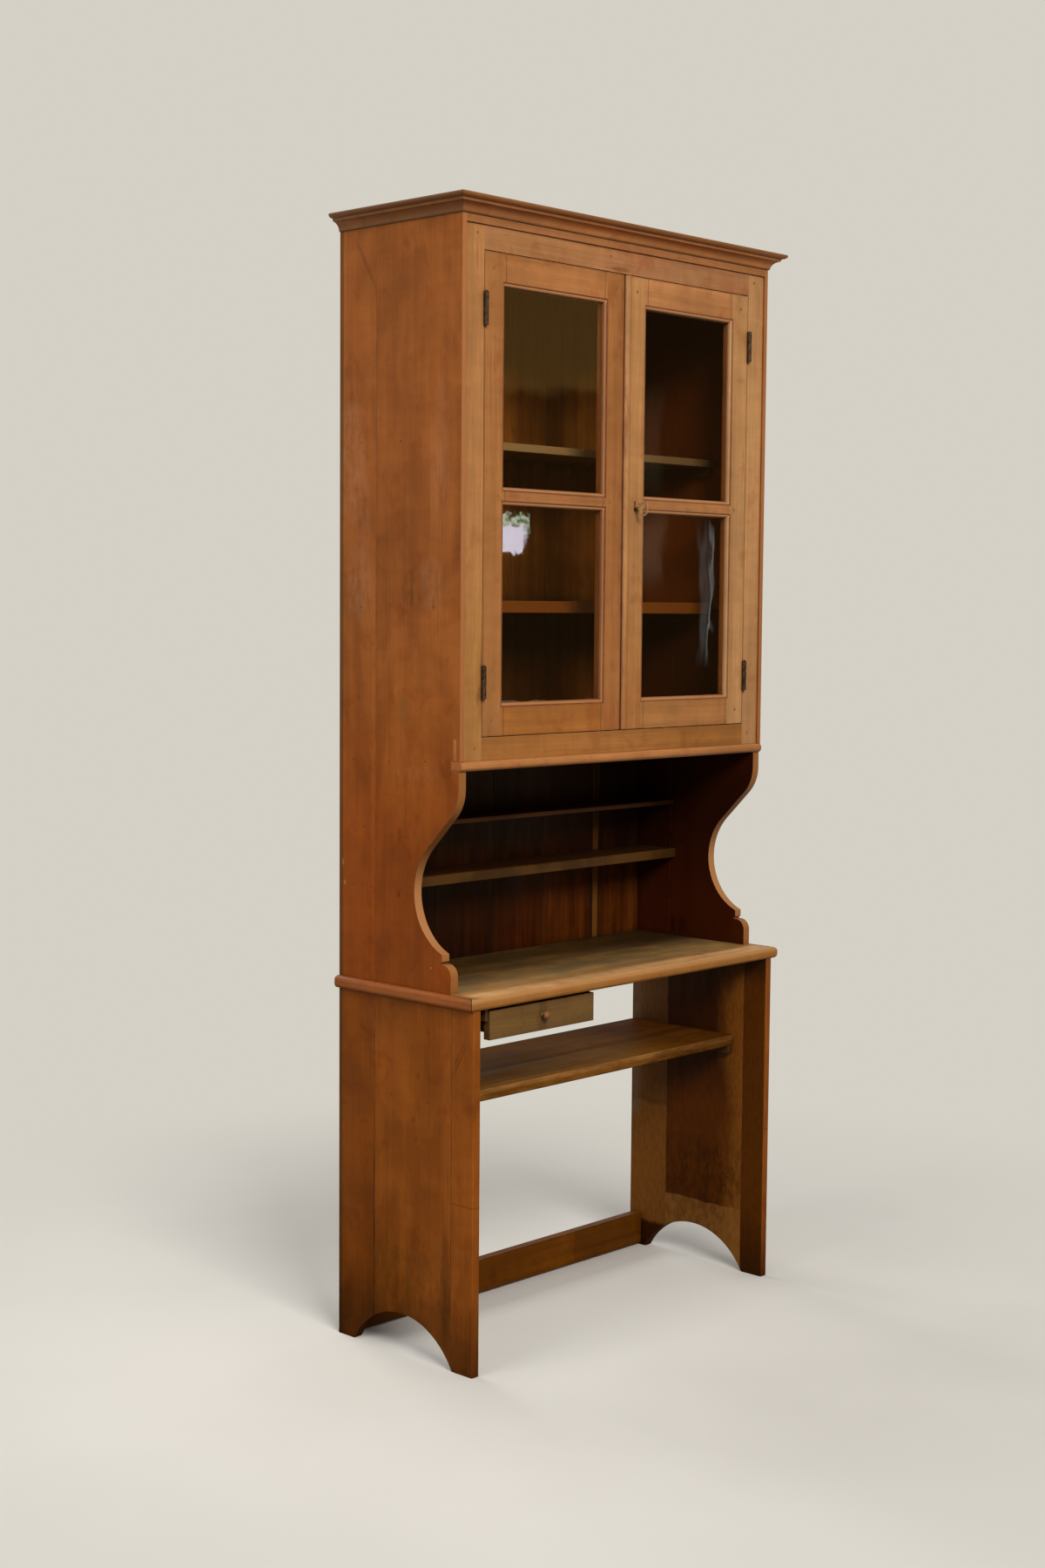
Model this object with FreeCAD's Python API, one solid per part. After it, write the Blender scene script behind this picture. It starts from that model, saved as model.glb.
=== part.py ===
import FreeCAD, Part
import math
import os
from FreeCAD import Vector

# A step back cupboard in solid wood, in millimetres, +Z up, standing on z = 0.
# An open base with arched feet, a hanging drawer and one shelf carries a worktop.
# A shallower upper case stands on it: an open niche between scrolled side boards,
# and a glazed cupboard with two doors under a moulded cornice.
#
# While the pieces are made, x = 0 is the middle of the width and y = 0 is the front edge of
# the base's sides, with +Y to the back. export() moves them so that y = 0 is the middle of the
# whole depth, which puts the origin at the middle of the bounding box's bottom.

# ---------------------------------------------------------------- driving dimensions
WIDTH = 910.0              # over the side boards
DEPTH = 376.0              # of the base's sides, front edge to back edge
HEIGHT = 2200.0
CUT = 1.0                  # how far a cutter stands out of what it cuts
NEAR = 0.1                 # how far from a face its own edges are looked for
SIDE_T = 19.0              # thickness of the side boards
STEP_BACK = 40.0           # how far the upper case's front stands behind the base's
WORKTOP_TOP = 724.0
WORKTOP_T = 24.0
CASE_BOTTOM = 1145.0       # underside of the glazed cupboard
CORNICE_BOTTOM = 2168.0
BACK_T = 12.0              # back planks

HALF = WIDTH / 2
INNER = HALF - SIDE_T      # inner face of the side boards, from the middle
BASE_TOP = WORKTOP_TOP - WORKTOP_T
BACK_FACE = DEPTH - BACK_T # front face of the back planks

# side boards: each side is glued up from boards, with seams at these depths
FRONT_SEAM = 58.0
REAR_SEAM = 272.0
BASE_EDGE_ROUND = 2.0      # of the base sides' front arrises

# arched feet: a circle through the floor line at both feet
ARCH_FRONT = 54.0
ARCH_REAR = 330.0
ARCH_HEIGHT = 81.0

# rear stretcher and lower shelf
STRETCHER_FACE = 344.0
STRETCHER_T = 19.0
STRETCHER_Z = (5.0, 76.0)
TENON_T = 8.0
TENON_LONG = 12.0
TENON_IN = 8.0             # of the stretcher's tenons from its upper and lower edge
SHELF_FRONT = 86.0
SHELF_REAR = 368.0
SHELF_SEAM = 201.0
SHELF_Z = (499.0, 522.0)
SHELF_EDGE_ROUND = 3.0
CLEAT_W = 15.0
CLEAT_H = 16.0
CLEAT_IN = (2.0, 6.0)      # the cleats stop short of the shelf's front and back

# drawer, hung under the left half of the worktop
DRAWER_X = (-404.0, -111.0)
DRAWER_Z = (638.0, 694.0)
DRAWER_FACE = 8.0
DRAWER_ROUND = 1.0
DRAWER_FRONT_T = 16.0
DRAWER_BACK = 322.0
DRAWER_SIDE_T = 10.0
DRAWER_BOTTOM_T = 6.0
DRAWER_RISE = 11.0         # the box's underside above the front's lower edge
DRAWER_TOP_GAP = 1.0       # the box's upper edge below the front's upper edge
DRAWER_BACK_LOW = 4.0      # the back's upper edge below the sides'
LIP_W = 10.0               # lips along the tops of the drawer's sides
LIP_H = 10.0
LIP_IN = 1.0               # the lips stop short of the front's ends
RUNNER_OUT = 0.5           # the runners' webs stand outside the front's ends
RUNNER_WEB = 8.0
RUNNER_LEDGE_T = 8.0
RUNNER_FRONT = (12.0, 27.0)  # front ends of the left and the right runner's web
RUNNER_REAR = 342.0
RUNNER_LEDGE_IN = 3.0      # the ledges start behind the drawer's front
SLIDE_GAP = 0.3            # under the lips
KNOB_Z = 668.0
KNOB_REACH = 16.0
KNOB_DOME = 6.0            # depth of the knob's domed front
KNOB_R = 8.5
KNOB_STEM_R = 4.0
KNOB_NECK_R = 3.6
KNOB_NECK_AT = 11.5        # depth at which the neck starts
KNOB_HOLLOW = (7.14, 9.4)  # a point of the hollow behind the dome: radius and depth
KNOB_FOOT_R = 5.8
KNOB_FOOT_H = 2.0

# worktop
NOSE_FRONT = 6.0           # overhang in front of the base's sides
NOSE_SIDE = 13.0           # overhang beyond the side boards
NOSE_DEEP = 9.0            # depth of the rounded nose
NOSE_UPPER = (6.6, 2.8)    # a point of its upper round: outwards, and below the top
NOSE_FLAT = (9.5, 16.0)    # its tip is upright between these drops below the top
NOSE_LOWER = (7.4, 20.6)   # a point of its lower round
NOSE_FOOT = 2.0            # how far out the lower round ends
WORKTOP_STRIP = FRONT_SEAM # the front board reaches back to here
WORKTOP_SEAM = 214.0
MITRE_GAP = 1.5            # the side nosings have sprung away from the front board

# scrolled front edge of the upper side boards, seen from the side
SCROLL_START = 43.5        # depth of the edge just under the case
SCROLL_TURN_R = 78.0       # convex turn from upright to 45 degrees
SCROLL_TURN_Z = 1111.5     # height at which that turn starts
SCROLL_BOWL = (41.0, 910.0)  # centre of the concave bowl, depth and height
SCROLL_BOWL_R = 121.3
SCROLL_NOSE = 85.3         # depth at which the bowl ends in a blunt nose
SCROLL_NOSE_FOOT = 784.0   # height of the nose's lower end
SCROLL_NOTCH = ((91.0, 779.0), (84.0, 778.5))
SCROLL_HEEL = (68.5, 772.5)  # a point of the last convex round
SCROLL_FOOT = (61.5, 758.0)  # where that round ends, and the foot's depth

# case floor, shelves and top
FLOOR_T = 21.0
BEAD_H = 18.0
BEAD_FRONT = 36.5
BEAD_BACK = 64.0
BEAD_ROUND = 5.0           # depth of its rounded nose
CASE_SHELF_FRONT = 165.0
CASE_SHELVES = ((1440.0, 1464.0), (1756.0, 1772.0))
CASE_CLEAT_H = 18.0
CASE_CLEAT_IN = 5.0
NICHE_SHELVES = ((257.0, 899.0, 919.0), (265.0, 1017.0, 1027.0))  # front, underside, top
CASE_TOP = 2180.0          # upper end of the side boards
TOP_BOARD_T = 16.0
PLANK_SEAMS = (-360.0, -205.0, -36.0, 117.0, 280.0, 298.0)
PLANK_CHAMFER = 1.5
SHELF_ROUND = 2.0          # on the front arrises of the shelves in the upper case

# face frame, set between the lips of the side boards
SIDE_LIP = 10.0            # width of the side board's edge that shows beside the frame
RECESS = 4.0               # the frame stands this far behind the lips
FRAME_T = 20.0
OPENING_HALF = 395.0
OPENING_Z = (1207.0, 2108.0)
FILLET_BOTTOM = 2153.0
FRAME_TENON_LONG = 36.0
FRAME_TENON_IN = (8.0, 12.0)  # of the top rail's tenons from its lower and upper edge
THROUGH_TENON_IN = 2.0     # of the bottom rail's tenons from its upper edge
FRAME_PEG_IN = 18.0        # of the frame's pegs from the rails' shoulders
FRAME_PEG_UP = 28.0        # of the upper pegs above the opening
FRAME_PEG_DOWN = 20.0      # of the lower pegs below it

# cornice
CORNICE_OUT = 30.0
CORNICE_STEP = 2.5
CORNICE_COVE = ((3.5, 4.0), (8.2, 12.4), (17.5, 17.5))  # projection and height of three points
CORNICE_FILLET = ((18.8, 17.8), (20.5, 23.0))
CORNICE_NOSE = ((26.5, 24.2), (CORNICE_OUT, 28.0), (29.4, 31.0))
CORNICE_TOP_OUT = 26.5

# doors
DOOR_GAP = 1.5
MEETING_GAP = 5.0          # the doors have shrunk away from each other
DOOR_T = 22.0
HINGE_STILE = 57.0
LEFT_MEETING_STILE = 56.5
RIGHT_MEETING_STILE = 67.5
TOP_RAIL = 60.5
BOTTOM_RAIL = 62.5
MIDDLE_RAIL = (1642.0, 1676.0)
STICKING = 7.0             # width of the moulding worked round the glass
STICKING_DEEP = 8.0
STICKING_ROUND = (2.2, 3.4)  # a point of its round: short of the sight edge, and deep
QUIRK = 1.2
GLASS_AT = 9.0             # front of the glass behind the door's face
GLASS_T = 2.5
REBATE = 8.0
GLASS_IN_REBATE = 7.0
BEADING_END = 21.0         # back of the square beads that hold the glass, behind the door's face
BEAD_W = 19.0              # bead along the right door's meeting edge
BEAD_PROUD = 2.5
BEAD_QUIRK = 1.0           # depth of the little groove beside it
TENON_IN_STILE = 42.0
STUB_TENON = 20.0          # the middle rails' tenons stop clear of the keyhole
TENON_DEPTH = 7.0          # of the tenon's face behind the door's face
OUTER_TENON_IN = (12.0, 14.0)  # of a tenon from the door's edge and from the glass
MIDDLE_TENON_IN = 9.0
PEG_R = 3.2
PEG_IN = {"top": 25.0, "middle": 12.0, "bottom": 25.0}  # of a door's pegs from the rails' shoulders

# butt hinges
HINGE_Z = (1310.0, 2001.0) # middle height of each hinge
HINGE_LONG = 62.0
KNUCKLE_R = 4.5
PIN_R = 2.0
PIN_PLAY = 0.05
PIN_HEAD_R = 3.0
PIN_HEAD = 2.0
PIN_HEAD_TOP_R = 1.8
LEAF_T = 1.6
LEAF_W = 20.0
LEAF_PROUD = 0.65          # of the wood, inside the gap between door and frame
KNUCKLE_GAP = 0.3          # between knuckles, and between a knuckle and the door's face

# lock on the right door, and the bolt that holds the left door
KEY_X = 37.0
KEY_Z = 1648.5
KEYHOLE_R = 3.3
KEYHOLE_SLOT_W = 5.0
KEYHOLE_TOP = 1664.0
LOCK_X = (4.0, 60.0)
LOCK_Z = (1632.0, 1684.0)
LOCK_DEEP = 14.0
LOCK_WALL = 1.5
LOCK_BOLT_X = (3.0, 50.0)
LOCK_BOLT_Z = (1666.0, 1678.0)
LOCK_BOLT_IN = 3.0         # front of the bolt behind the door's back
LOCK_BOLT_T = 6.0
LOCK_SLOT_PLAY = 0.3
KEY_SHANK_R = 3.0
KEY_BOW_AT = 21.0          # depth of the bow's centre
KEY_BOW = (11.5, 14.0)     # half its depth and half its height
KEY_BOW_WIRE = 3.2
KEY_COLLAR_R = 4.2
KEY_COLLAR_W = 3.0
KEY_COLLAR_AT = 4.0        # of the collar behind the shank's front end
KEY_INTO_BOW = 1.0         # how far the shank reaches into the bow's wire
KEY_END_PLAY = 1.5         # between the key's tip and the lock's back
KEY_BIT_R = 14.0
KEY_BIT_T = 2.5
KEY_BIT_W = 8.0
KEY_BIT_END = 1.0          # of the bit from the key's tip
BOLT_X = -30.0
BOLT_R = 3.0
BOLT_Z = (2034.0, 2104.0)
BOLT_PLATE_W = 18.0
BOLT_PLATE_Z = (2038.0, 2096.0)
BOLT_PLATE_T = 1.5
BOLT_OFF = 4.2             # of the bolt's axis behind its plate
STAPLE_T = 1.5
STAPLE_H = 8.0
STAPLE_IN = 6.0            # of the staples from the plate's ends
BOLT_PLAY = 0.3
BOLT_BUTTON_R = 2.5
BOLT_BUTTON_REACH = 7.0
BOLT_BUTTON_DOWN = 8.0     # of the button below the plate's middle

UPPER_FRONT = STEP_BACK
FRAME_FACE = UPPER_FRONT + RECESS
FRAME_BACK = FRAME_FACE + FRAME_T
DOOR_BACK = FRAME_FACE + DOOR_T
SIDES = {"left": -1, "right": 1}
KNOB_TIP = DRAWER_FACE - KNOB_REACH
MIDDLE_OF_DEPTH = (DEPTH + KNOB_TIP) / 2


# ---------------------------------------------------------------- helpers
def box(x, y, z):
    """A block between pairs of x, y and z, each given in either order."""
    low = [min(pair) for pair in (x, y, z)]
    high = [max(pair) for pair in (x, y, z)]
    size = [b - a for a, b in zip(low, high)]
    return Part.makeBox(size[0], size[1], size[2], Vector(*low))


def outline(steps):
    """A closed wire. A step is a point, or a pair: a point that an arc passes, and its end."""
    edges = []
    here = steps[0]
    for step in list(steps[1:]) + [steps[0]]:
        if isinstance(step, tuple):
            passed, end = step
            edges.append(Part.Arc(here, passed, end).toShape())
        else:
            end = step
            if end.distanceToPoint(here) > 1e-6:
                edges.append(Part.makeLine(here, end))
        here = end
    return Part.Wire(edges)


def prism(steps, along):
    """The solid that the outline sweeps along a vector."""
    return Part.Face(outline(steps)).extrude(along)


def mirrored(shape):
    """The same shape on the other side of the middle plane x = 0."""
    return shape.mirror(Vector(0, 0, 0), Vector(1, 0, 0))


def solids_of(shapes):
    """A compound of all the solids in the shapes."""
    found = []
    for shape in shapes:
        found.extend(shape.Solids)
    return Part.makeCompound(found)


def export(name, *shapes):
    """Writes one node, moved to the frame whose origin is under the middle of the object."""
    whole = solids_of(shapes)
    whole.translate(Vector(0, -MIDDLE_OF_DEPTH, 0))
    whole.exportStep(os.path.join("parts", name + ".step"))


def softened(shape, picks, radius):
    """Rounds the straight edges that picks(middle of the edge, direction) chooses."""
    chosen = []
    for edge in shape.Edges:
        if not isinstance(edge.Curve, Part.Line):
            continue
        middle = edge.valueAt((edge.FirstParameter + edge.LastParameter) / 2)
        direction = edge.tangentAt(edge.FirstParameter)
        if picks(middle, direction):
            chosen.append(edge)
    return shape.makeFillet(radius, chosen)


def octagon_peg(x, z, y_from, y_to):
    """An eight-sided peg driven from front to back."""
    corners = []
    for step in range(8):
        angle = math.radians(45 * step + 22.5)
        corners.append(Vector(x + PEG_R * math.cos(angle), y_from, z + PEG_R * math.sin(angle)))
    return prism(corners, Vector(0, y_to - y_from, 0))


# ---------------------------------------------------------------- base
def arch_cutter():
    """The cylinder that cuts the arch between the front and rear feet."""
    half_span = (ARCH_REAR - ARCH_FRONT) / 2
    radius = (half_span**2 + ARCH_HEIGHT**2) / (2 * ARCH_HEIGHT)
    centre = Vector(-HALF - CUT, (ARCH_FRONT + ARCH_REAR) / 2, ARCH_HEIGHT - radius)
    return Part.makeCylinder(radius, WIDTH + 2 * CUT, centre, Vector(1, 0, 0))


def stretcher_tenon(sign):
    """The tenon at one end of the rear stretcher."""
    middle = STRETCHER_FACE + STRETCHER_T / 2
    depth = (middle - TENON_T / 2, middle + TENON_T / 2)
    low, high = STRETCHER_Z
    return box((sign * INNER, sign * (INNER + TENON_LONG)), depth, (low + TENON_IN, high - TENON_IN))


def base_sides():
    """Three glued boards a side, with the arch cut through them."""
    arch = arch_cutter()
    spans = {"front": (0, FRONT_SEAM), "middle": (FRONT_SEAM, REAR_SEAM), "rear": (REAR_SEAM, DEPTH)}
    for side, sign in SIDES.items():
        for place, span in spans.items():
            board = box((sign * INNER, sign * HALF), span, (0, BASE_TOP)).cut(arch)
            if place == "front":
                board = softened(board, lambda p, t: p.y < NEAR and abs(t.z) > 0.9, BASE_EDGE_ROUND)
            if place == "rear":
                board = board.cut(stretcher_tenon(sign))
            export(f"base_side_{side}_{place}_board", board)


def rear_stretcher():
    """The low rail that ties the rear feet together."""
    depth = (STRETCHER_FACE, STRETCHER_FACE + STRETCHER_T)
    rail = box((-INNER, INNER), depth, STRETCHER_Z)
    for sign in SIDES.values():
        rail = rail.fuse(stretcher_tenon(sign))
    export("rear_stretcher", rail.removeSplitter())


def lower_shelf():
    """Two boards with worn front arrises, resting on a cleat at each end."""
    front = box((-INNER, INNER), (SHELF_FRONT, SHELF_SEAM), SHELF_Z)
    front = softened(front, lambda p, t: p.y < SHELF_FRONT + NEAR and abs(t.x) > 0.9, SHELF_EDGE_ROUND)
    rear = box((-INNER, INNER), (SHELF_SEAM, SHELF_REAR), SHELF_Z)
    export("lower_shelf_boards", front, rear)


def shelf_cleats():
    """The battens that carry the ends of the lower shelf and of the cabinet's shelves."""
    cleats = []
    depth = (SHELF_FRONT + CLEAT_IN[0], SHELF_REAR - CLEAT_IN[1])
    case_depth = (CASE_SHELF_FRONT + CASE_CLEAT_IN, BACK_FACE)
    for sign in SIDES.values():
        across = (sign * INNER, sign * (INNER - CLEAT_W))
        cleats.append(box(across, depth, (SHELF_Z[0] - CLEAT_H, SHELF_Z[0])))
        for low, _ in CASE_SHELVES:
            cleats.append(box(across, case_depth, (low - CASE_CLEAT_H, low)))
    export("shelf_cleats", *cleats)


# ---------------------------------------------------------------- drawer
def drawer_box_x():
    """Outer faces of the drawer's two sides."""
    inset = LIP_IN + LIP_W
    return DRAWER_X[0] + inset, DRAWER_X[1] - inset


def drawer():
    """The front, the sides with their hanging lips, the back, the bottom and the knob."""
    left, right = drawer_box_x()
    low = DRAWER_Z[0] + DRAWER_RISE
    high = DRAWER_Z[1] - DRAWER_TOP_GAP
    front_back = DRAWER_FACE + DRAWER_FRONT_T
    knob_x = (DRAWER_X[0] + DRAWER_X[1]) / 2

    face = box(DRAWER_X, (DRAWER_FACE, front_back), DRAWER_Z)
    face = softened(face, lambda p, t: p.y < DRAWER_FACE + NEAR, DRAWER_ROUND)
    hole = Part.makeCylinder(
        KNOB_STEM_R + PIN_PLAY, DRAWER_FRONT_T, Vector(knob_x, DRAWER_FACE, KNOB_Z), Vector(0, 1, 0)
    )
    export("drawer_front", face.cut(hole))

    bottom_top = low + DRAWER_BOTTOM_T
    sides = []
    for outer, sign in ((left, -1), (right, 1)):
        inner = outer - sign * DRAWER_SIDE_T
        wall = box((outer, inner), (front_back, DRAWER_BACK), (bottom_top, high))
        lip = box((outer, outer + sign * LIP_W), (front_back, DRAWER_BACK), (high - LIP_H, high))
        sides.append(wall.fuse(lip).removeSplitter())
    export("drawer_sides", *sides)

    between = (left + DRAWER_SIDE_T, right - DRAWER_SIDE_T)
    back_depth = (DRAWER_BACK - DRAWER_SIDE_T, DRAWER_BACK)
    export("drawer_back", box(between, back_depth, (bottom_top, high - DRAWER_BACK_LOW)))
    export("drawer_bottom", box((left, right), (front_back, DRAWER_BACK), (low, bottom_top)))
    export("drawer_knob", knob(knob_x))


def knob(x):
    """A small turned wooden knob with its stem through the drawer's front."""
    dome_r = (KNOB_R**2 + KNOB_DOME**2) / (2 * KNOB_DOME)
    half = math.asin(KNOB_R / dome_r) / 2
    hollow_r, hollow_at = KNOB_HOLLOW
    end = DRAWER_FACE + DRAWER_FRONT_T
    steps = [
        Vector(0, KNOB_TIP, 0),
        (
            Vector(dome_r * math.sin(half), KNOB_TIP + dome_r * (1 - math.cos(half)), 0),
            Vector(KNOB_R, KNOB_TIP + KNOB_DOME, 0),
        ),
        (Vector(hollow_r, KNOB_TIP + hollow_at, 0), Vector(KNOB_NECK_R, KNOB_TIP + KNOB_NECK_AT, 0)),
        Vector(KNOB_NECK_R, DRAWER_FACE - KNOB_FOOT_H, 0),
        Vector(KNOB_FOOT_R, DRAWER_FACE, 0),
        Vector(KNOB_STEM_R, DRAWER_FACE, 0),
        Vector(KNOB_STEM_R, end, 0),
        Vector(0, end, 0),
    ]
    turned = Part.Face(outline(steps)).revolve(Vector(0, 0, 0), Vector(0, 1, 0), 360)
    turned.translate(Vector(x, 0, KNOB_Z))
    return turned


def drawer_runners():
    """Two rebated battens under the worktop, on whose ledges the drawer's lips slide."""
    ledge_top = DRAWER_Z[1] - DRAWER_TOP_GAP - LIP_H - SLIDE_GAP
    ledge_bottom = ledge_top - RUNNER_LEDGE_T
    ledge_front = DRAWER_FACE + DRAWER_FRONT_T + RUNNER_LEDGE_IN
    runners = []
    for front, edge, outer, sign in zip(RUNNER_FRONT, DRAWER_X, drawer_box_x(), (-1, 1)):
        inner_face = edge + sign * RUNNER_OUT
        web_x = (inner_face, inner_face + sign * RUNNER_WEB)
        web = box(web_x, (front, RUNNER_REAR), (ledge_bottom, BASE_TOP))
        ledge_x = (outer + sign * LIP_IN, inner_face)
        ledge = box(ledge_x, (ledge_front, RUNNER_REAR), (ledge_bottom, ledge_top))
        runners.append(web.fuse(ledge).removeSplitter())
    export("drawer_runners", *runners)


# ---------------------------------------------------------------- worktop
def nose_outline(edge, out, back):
    """A worktop edge's section in depth and height: edge is where the round starts, out its tip."""
    step = (out - edge) / NOSE_DEEP

    def at(outwards, drop):
        return Vector(0, edge + outwards * step, WORKTOP_TOP - drop)

    return [
        Vector(0, back, BASE_TOP),
        Vector(0, back, WORKTOP_TOP),
        at(0, 0),
        (at(*NOSE_UPPER), at(NOSE_DEEP, NOSE_FLAT[0])),
        at(NOSE_DEEP, NOSE_FLAT[1]),
        (at(*NOSE_LOWER), at(NOSE_FOOT, WORKTOP_T)),
    ]


def worktop():
    """Two wide boards, a nosed front board with mitred ends, and a nosed strip on each side."""
    height = (BASE_TOP, WORKTOP_TOP)
    middle = box((-HALF, HALF), (WORKTOP_STRIP, WORKTOP_SEAM), height)
    export("worktop_boards", middle, box((-HALF, HALF), (WORKTOP_SEAM, DEPTH), height))

    wide = HALF + NOSE_SIDE
    corner = NOSE_SIDE - NOSE_FRONT
    profile = nose_outline(NOSE_DEEP - NOSE_FRONT, -NOSE_FRONT, WORKTOP_STRIP)
    bar = prism(profile, Vector(2 * wide, 0, 0))
    bar.translate(Vector(-wide, 0, 0))
    end = HALF - MITRE_GAP
    plan = [(-end, WORKTOP_STRIP), (end, WORKTOP_STRIP), (end, corner), (wide - MITRE_GAP, -NOSE_FRONT)]
    plan += [(MITRE_GAP - wide, -NOSE_FRONT), (-end, corner)]
    cutter = prism([Vector(px, py, BASE_TOP) for px, py in plan], Vector(0, 0, WORKTOP_T))
    export("worktop_front_board", bar.common(cutter))

    profile = nose_outline(wide - NOSE_DEEP, wide, HALF)
    strip = prism([turned_to_x(step) for step in profile], Vector(0, DEPTH + NOSE_FRONT, 0))
    strip.translate(Vector(0, -NOSE_FRONT, 0))
    plan = [(HALF, corner), (wide, -NOSE_FRONT), (wide, DEPTH), (HALF, DEPTH)]
    cutter = prism([Vector(px, py, BASE_TOP) for px, py in plan], Vector(0, 0, WORKTOP_T))
    strip = strip.common(cutter)
    export("worktop_side_nosings", strip, mirrored(strip))


def turned_to_x(step):
    """An outline step drawn in depth and height, laid out in width and height instead."""
    if isinstance(step, tuple):
        return tuple(Vector(point.y, 0, point.z) for point in step)
    return Vector(step.y, 0, step.z)


# ---------------------------------------------------------------- upper case
def scroll_outline():
    """Front board of an upper side, seen from the side, with its scrolled edge and bead notch."""
    def at(depth, height):
        return Vector(0, depth, height)

    def on_turn(degrees):
        angle = math.radians(degrees)
        depth = SCROLL_START + SCROLL_TURN_R - SCROLL_TURN_R * math.cos(angle)
        return at(depth, SCROLL_TURN_Z - SCROLL_TURN_R * math.sin(angle))

    def on_bowl(degrees):
        angle = math.radians(degrees)
        centre_y, centre_z = SCROLL_BOWL
        return at(centre_y + SCROLL_BOWL_R * math.cos(angle), centre_z + SCROLL_BOWL_R * math.sin(angle))

    bowl_end = -math.degrees(math.acos((SCROLL_NOSE - SCROLL_BOWL[0]) / SCROLL_BOWL_R))
    return [
        at(REAR_SEAM, WORKTOP_TOP),
        at(REAR_SEAM, CASE_TOP),
        at(UPPER_FRONT, CASE_TOP),
        at(UPPER_FRONT, CASE_BOTTOM + BEAD_H),
        at(BEAD_BACK, CASE_BOTTOM + BEAD_H),
        at(BEAD_BACK, CASE_BOTTOM),
        at(SCROLL_START, CASE_BOTTOM),
        at(SCROLL_START, SCROLL_TURN_Z),
        (on_turn(22.5), on_turn(45)),
        on_bowl(45),
        (on_bowl(0), on_bowl(bowl_end)),
        at(SCROLL_NOSE, SCROLL_NOSE_FOOT),
        at(*SCROLL_NOTCH[0]),
        at(*SCROLL_NOTCH[1]),
        (at(*SCROLL_HEEL), at(*SCROLL_FOOT)),
        at(SCROLL_FOOT[0], WORKTOP_TOP),
    ]


def rail_tenon(sign):
    """The bottom rail's through tenon, which shows on the outside of the side board."""
    middle = (FRAME_FACE + FRAME_BACK) / 2
    depth = (middle - TENON_T / 2, middle + TENON_T / 2)
    height = (CASE_BOTTOM + FLOOR_T, OPENING_Z[0] - THROUGH_TENON_IN)
    return box((sign * OPENING_HALF, sign * HALF), depth, height)


def upper_sides():
    """Two glued boards a side: the scrolled one, rebated for the face frame, and the rear one."""
    frame_z = (CASE_BOTTOM + BEAD_H, CASE_TOP)
    for side, sign in SIDES.items():
        board = prism(scroll_outline(), Vector(SIDE_T, 0, 0))
        board.translate(Vector(min(sign * INNER, sign * HALF), 0, 0))
        rebate = box((sign * INNER, sign * (HALF - SIDE_LIP)), (UPPER_FRONT, FRAME_BACK), frame_z)
        export(f"upper_side_{side}_front_board", board.cut(rebate).cut(rail_tenon(sign)))
        rear = box((sign * INNER, sign * HALF), (REAR_SEAM, DEPTH), (WORKTOP_TOP, CASE_TOP))
        export(f"upper_side_{side}_rear_board", rear)


def back_planks():
    """Upright planks between the sides, with a small chamfer along each seam."""
    edges = (-INNER,) + PLANK_SEAMS + (INNER,)
    planks = []
    cut = PLANK_CHAMFER
    for left, right in zip(edges, edges[1:]):
        plan = [
            (left, DEPTH), (left, BACK_FACE + cut), (left + cut, BACK_FACE),
            (right - cut, BACK_FACE), (right, BACK_FACE + cut), (right, DEPTH),
        ]
        corners = [Vector(px, py, WORKTOP_TOP) for px, py in plan]
        planks.append(prism(corners, Vector(0, 0, CASE_TOP - WORKTOP_TOP)))
    export("back_planks", *planks)


def soft_shelf(front, low, high):
    """A shelf between the sides of the upper case, with rounded front arrises."""
    board = box((-INNER, INNER), (front, BACK_FACE), (low, high))
    return softened(board, lambda p, t: p.y < front + NEAR and abs(t.x) > 0.9, SHELF_ROUND)


def case_boards():
    """The shelves of the niche and the cupboard, the cupboard's floor and its top board."""
    export("niche_shelves", *[soft_shelf(*span) for span in NICHE_SHELVES])
    export("cabinet_shelves", *[soft_shelf(CASE_SHELF_FRONT, *span) for span in CASE_SHELVES])
    floor_z = (CASE_BOTTOM, CASE_BOTTOM + FLOOR_T)
    export("cabinet_floor", box((-INNER, INNER), (BEAD_BACK, BACK_FACE), floor_z))
    export("top_board", box((-HALF, HALF), (UPPER_FRONT, DEPTH), (CASE_TOP, CASE_TOP + TOP_BOARD_T)))


def floor_bead():
    """The rounded strip under the face frame, across the whole front."""
    low = CASE_BOTTOM
    high = CASE_BOTTOM + BEAD_H
    round_in = BEAD_FRONT + BEAD_ROUND
    steps = [
        Vector(-HALF, BEAD_BACK, low),
        Vector(-HALF, BEAD_BACK, high),
        Vector(-HALF, round_in, high),
        (Vector(-HALF, BEAD_FRONT, (low + high) / 2), Vector(-HALF, round_in, low)),
    ]
    export("cabinet_floor_bead", prism(steps, Vector(WIDTH, 0, 0)))


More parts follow.
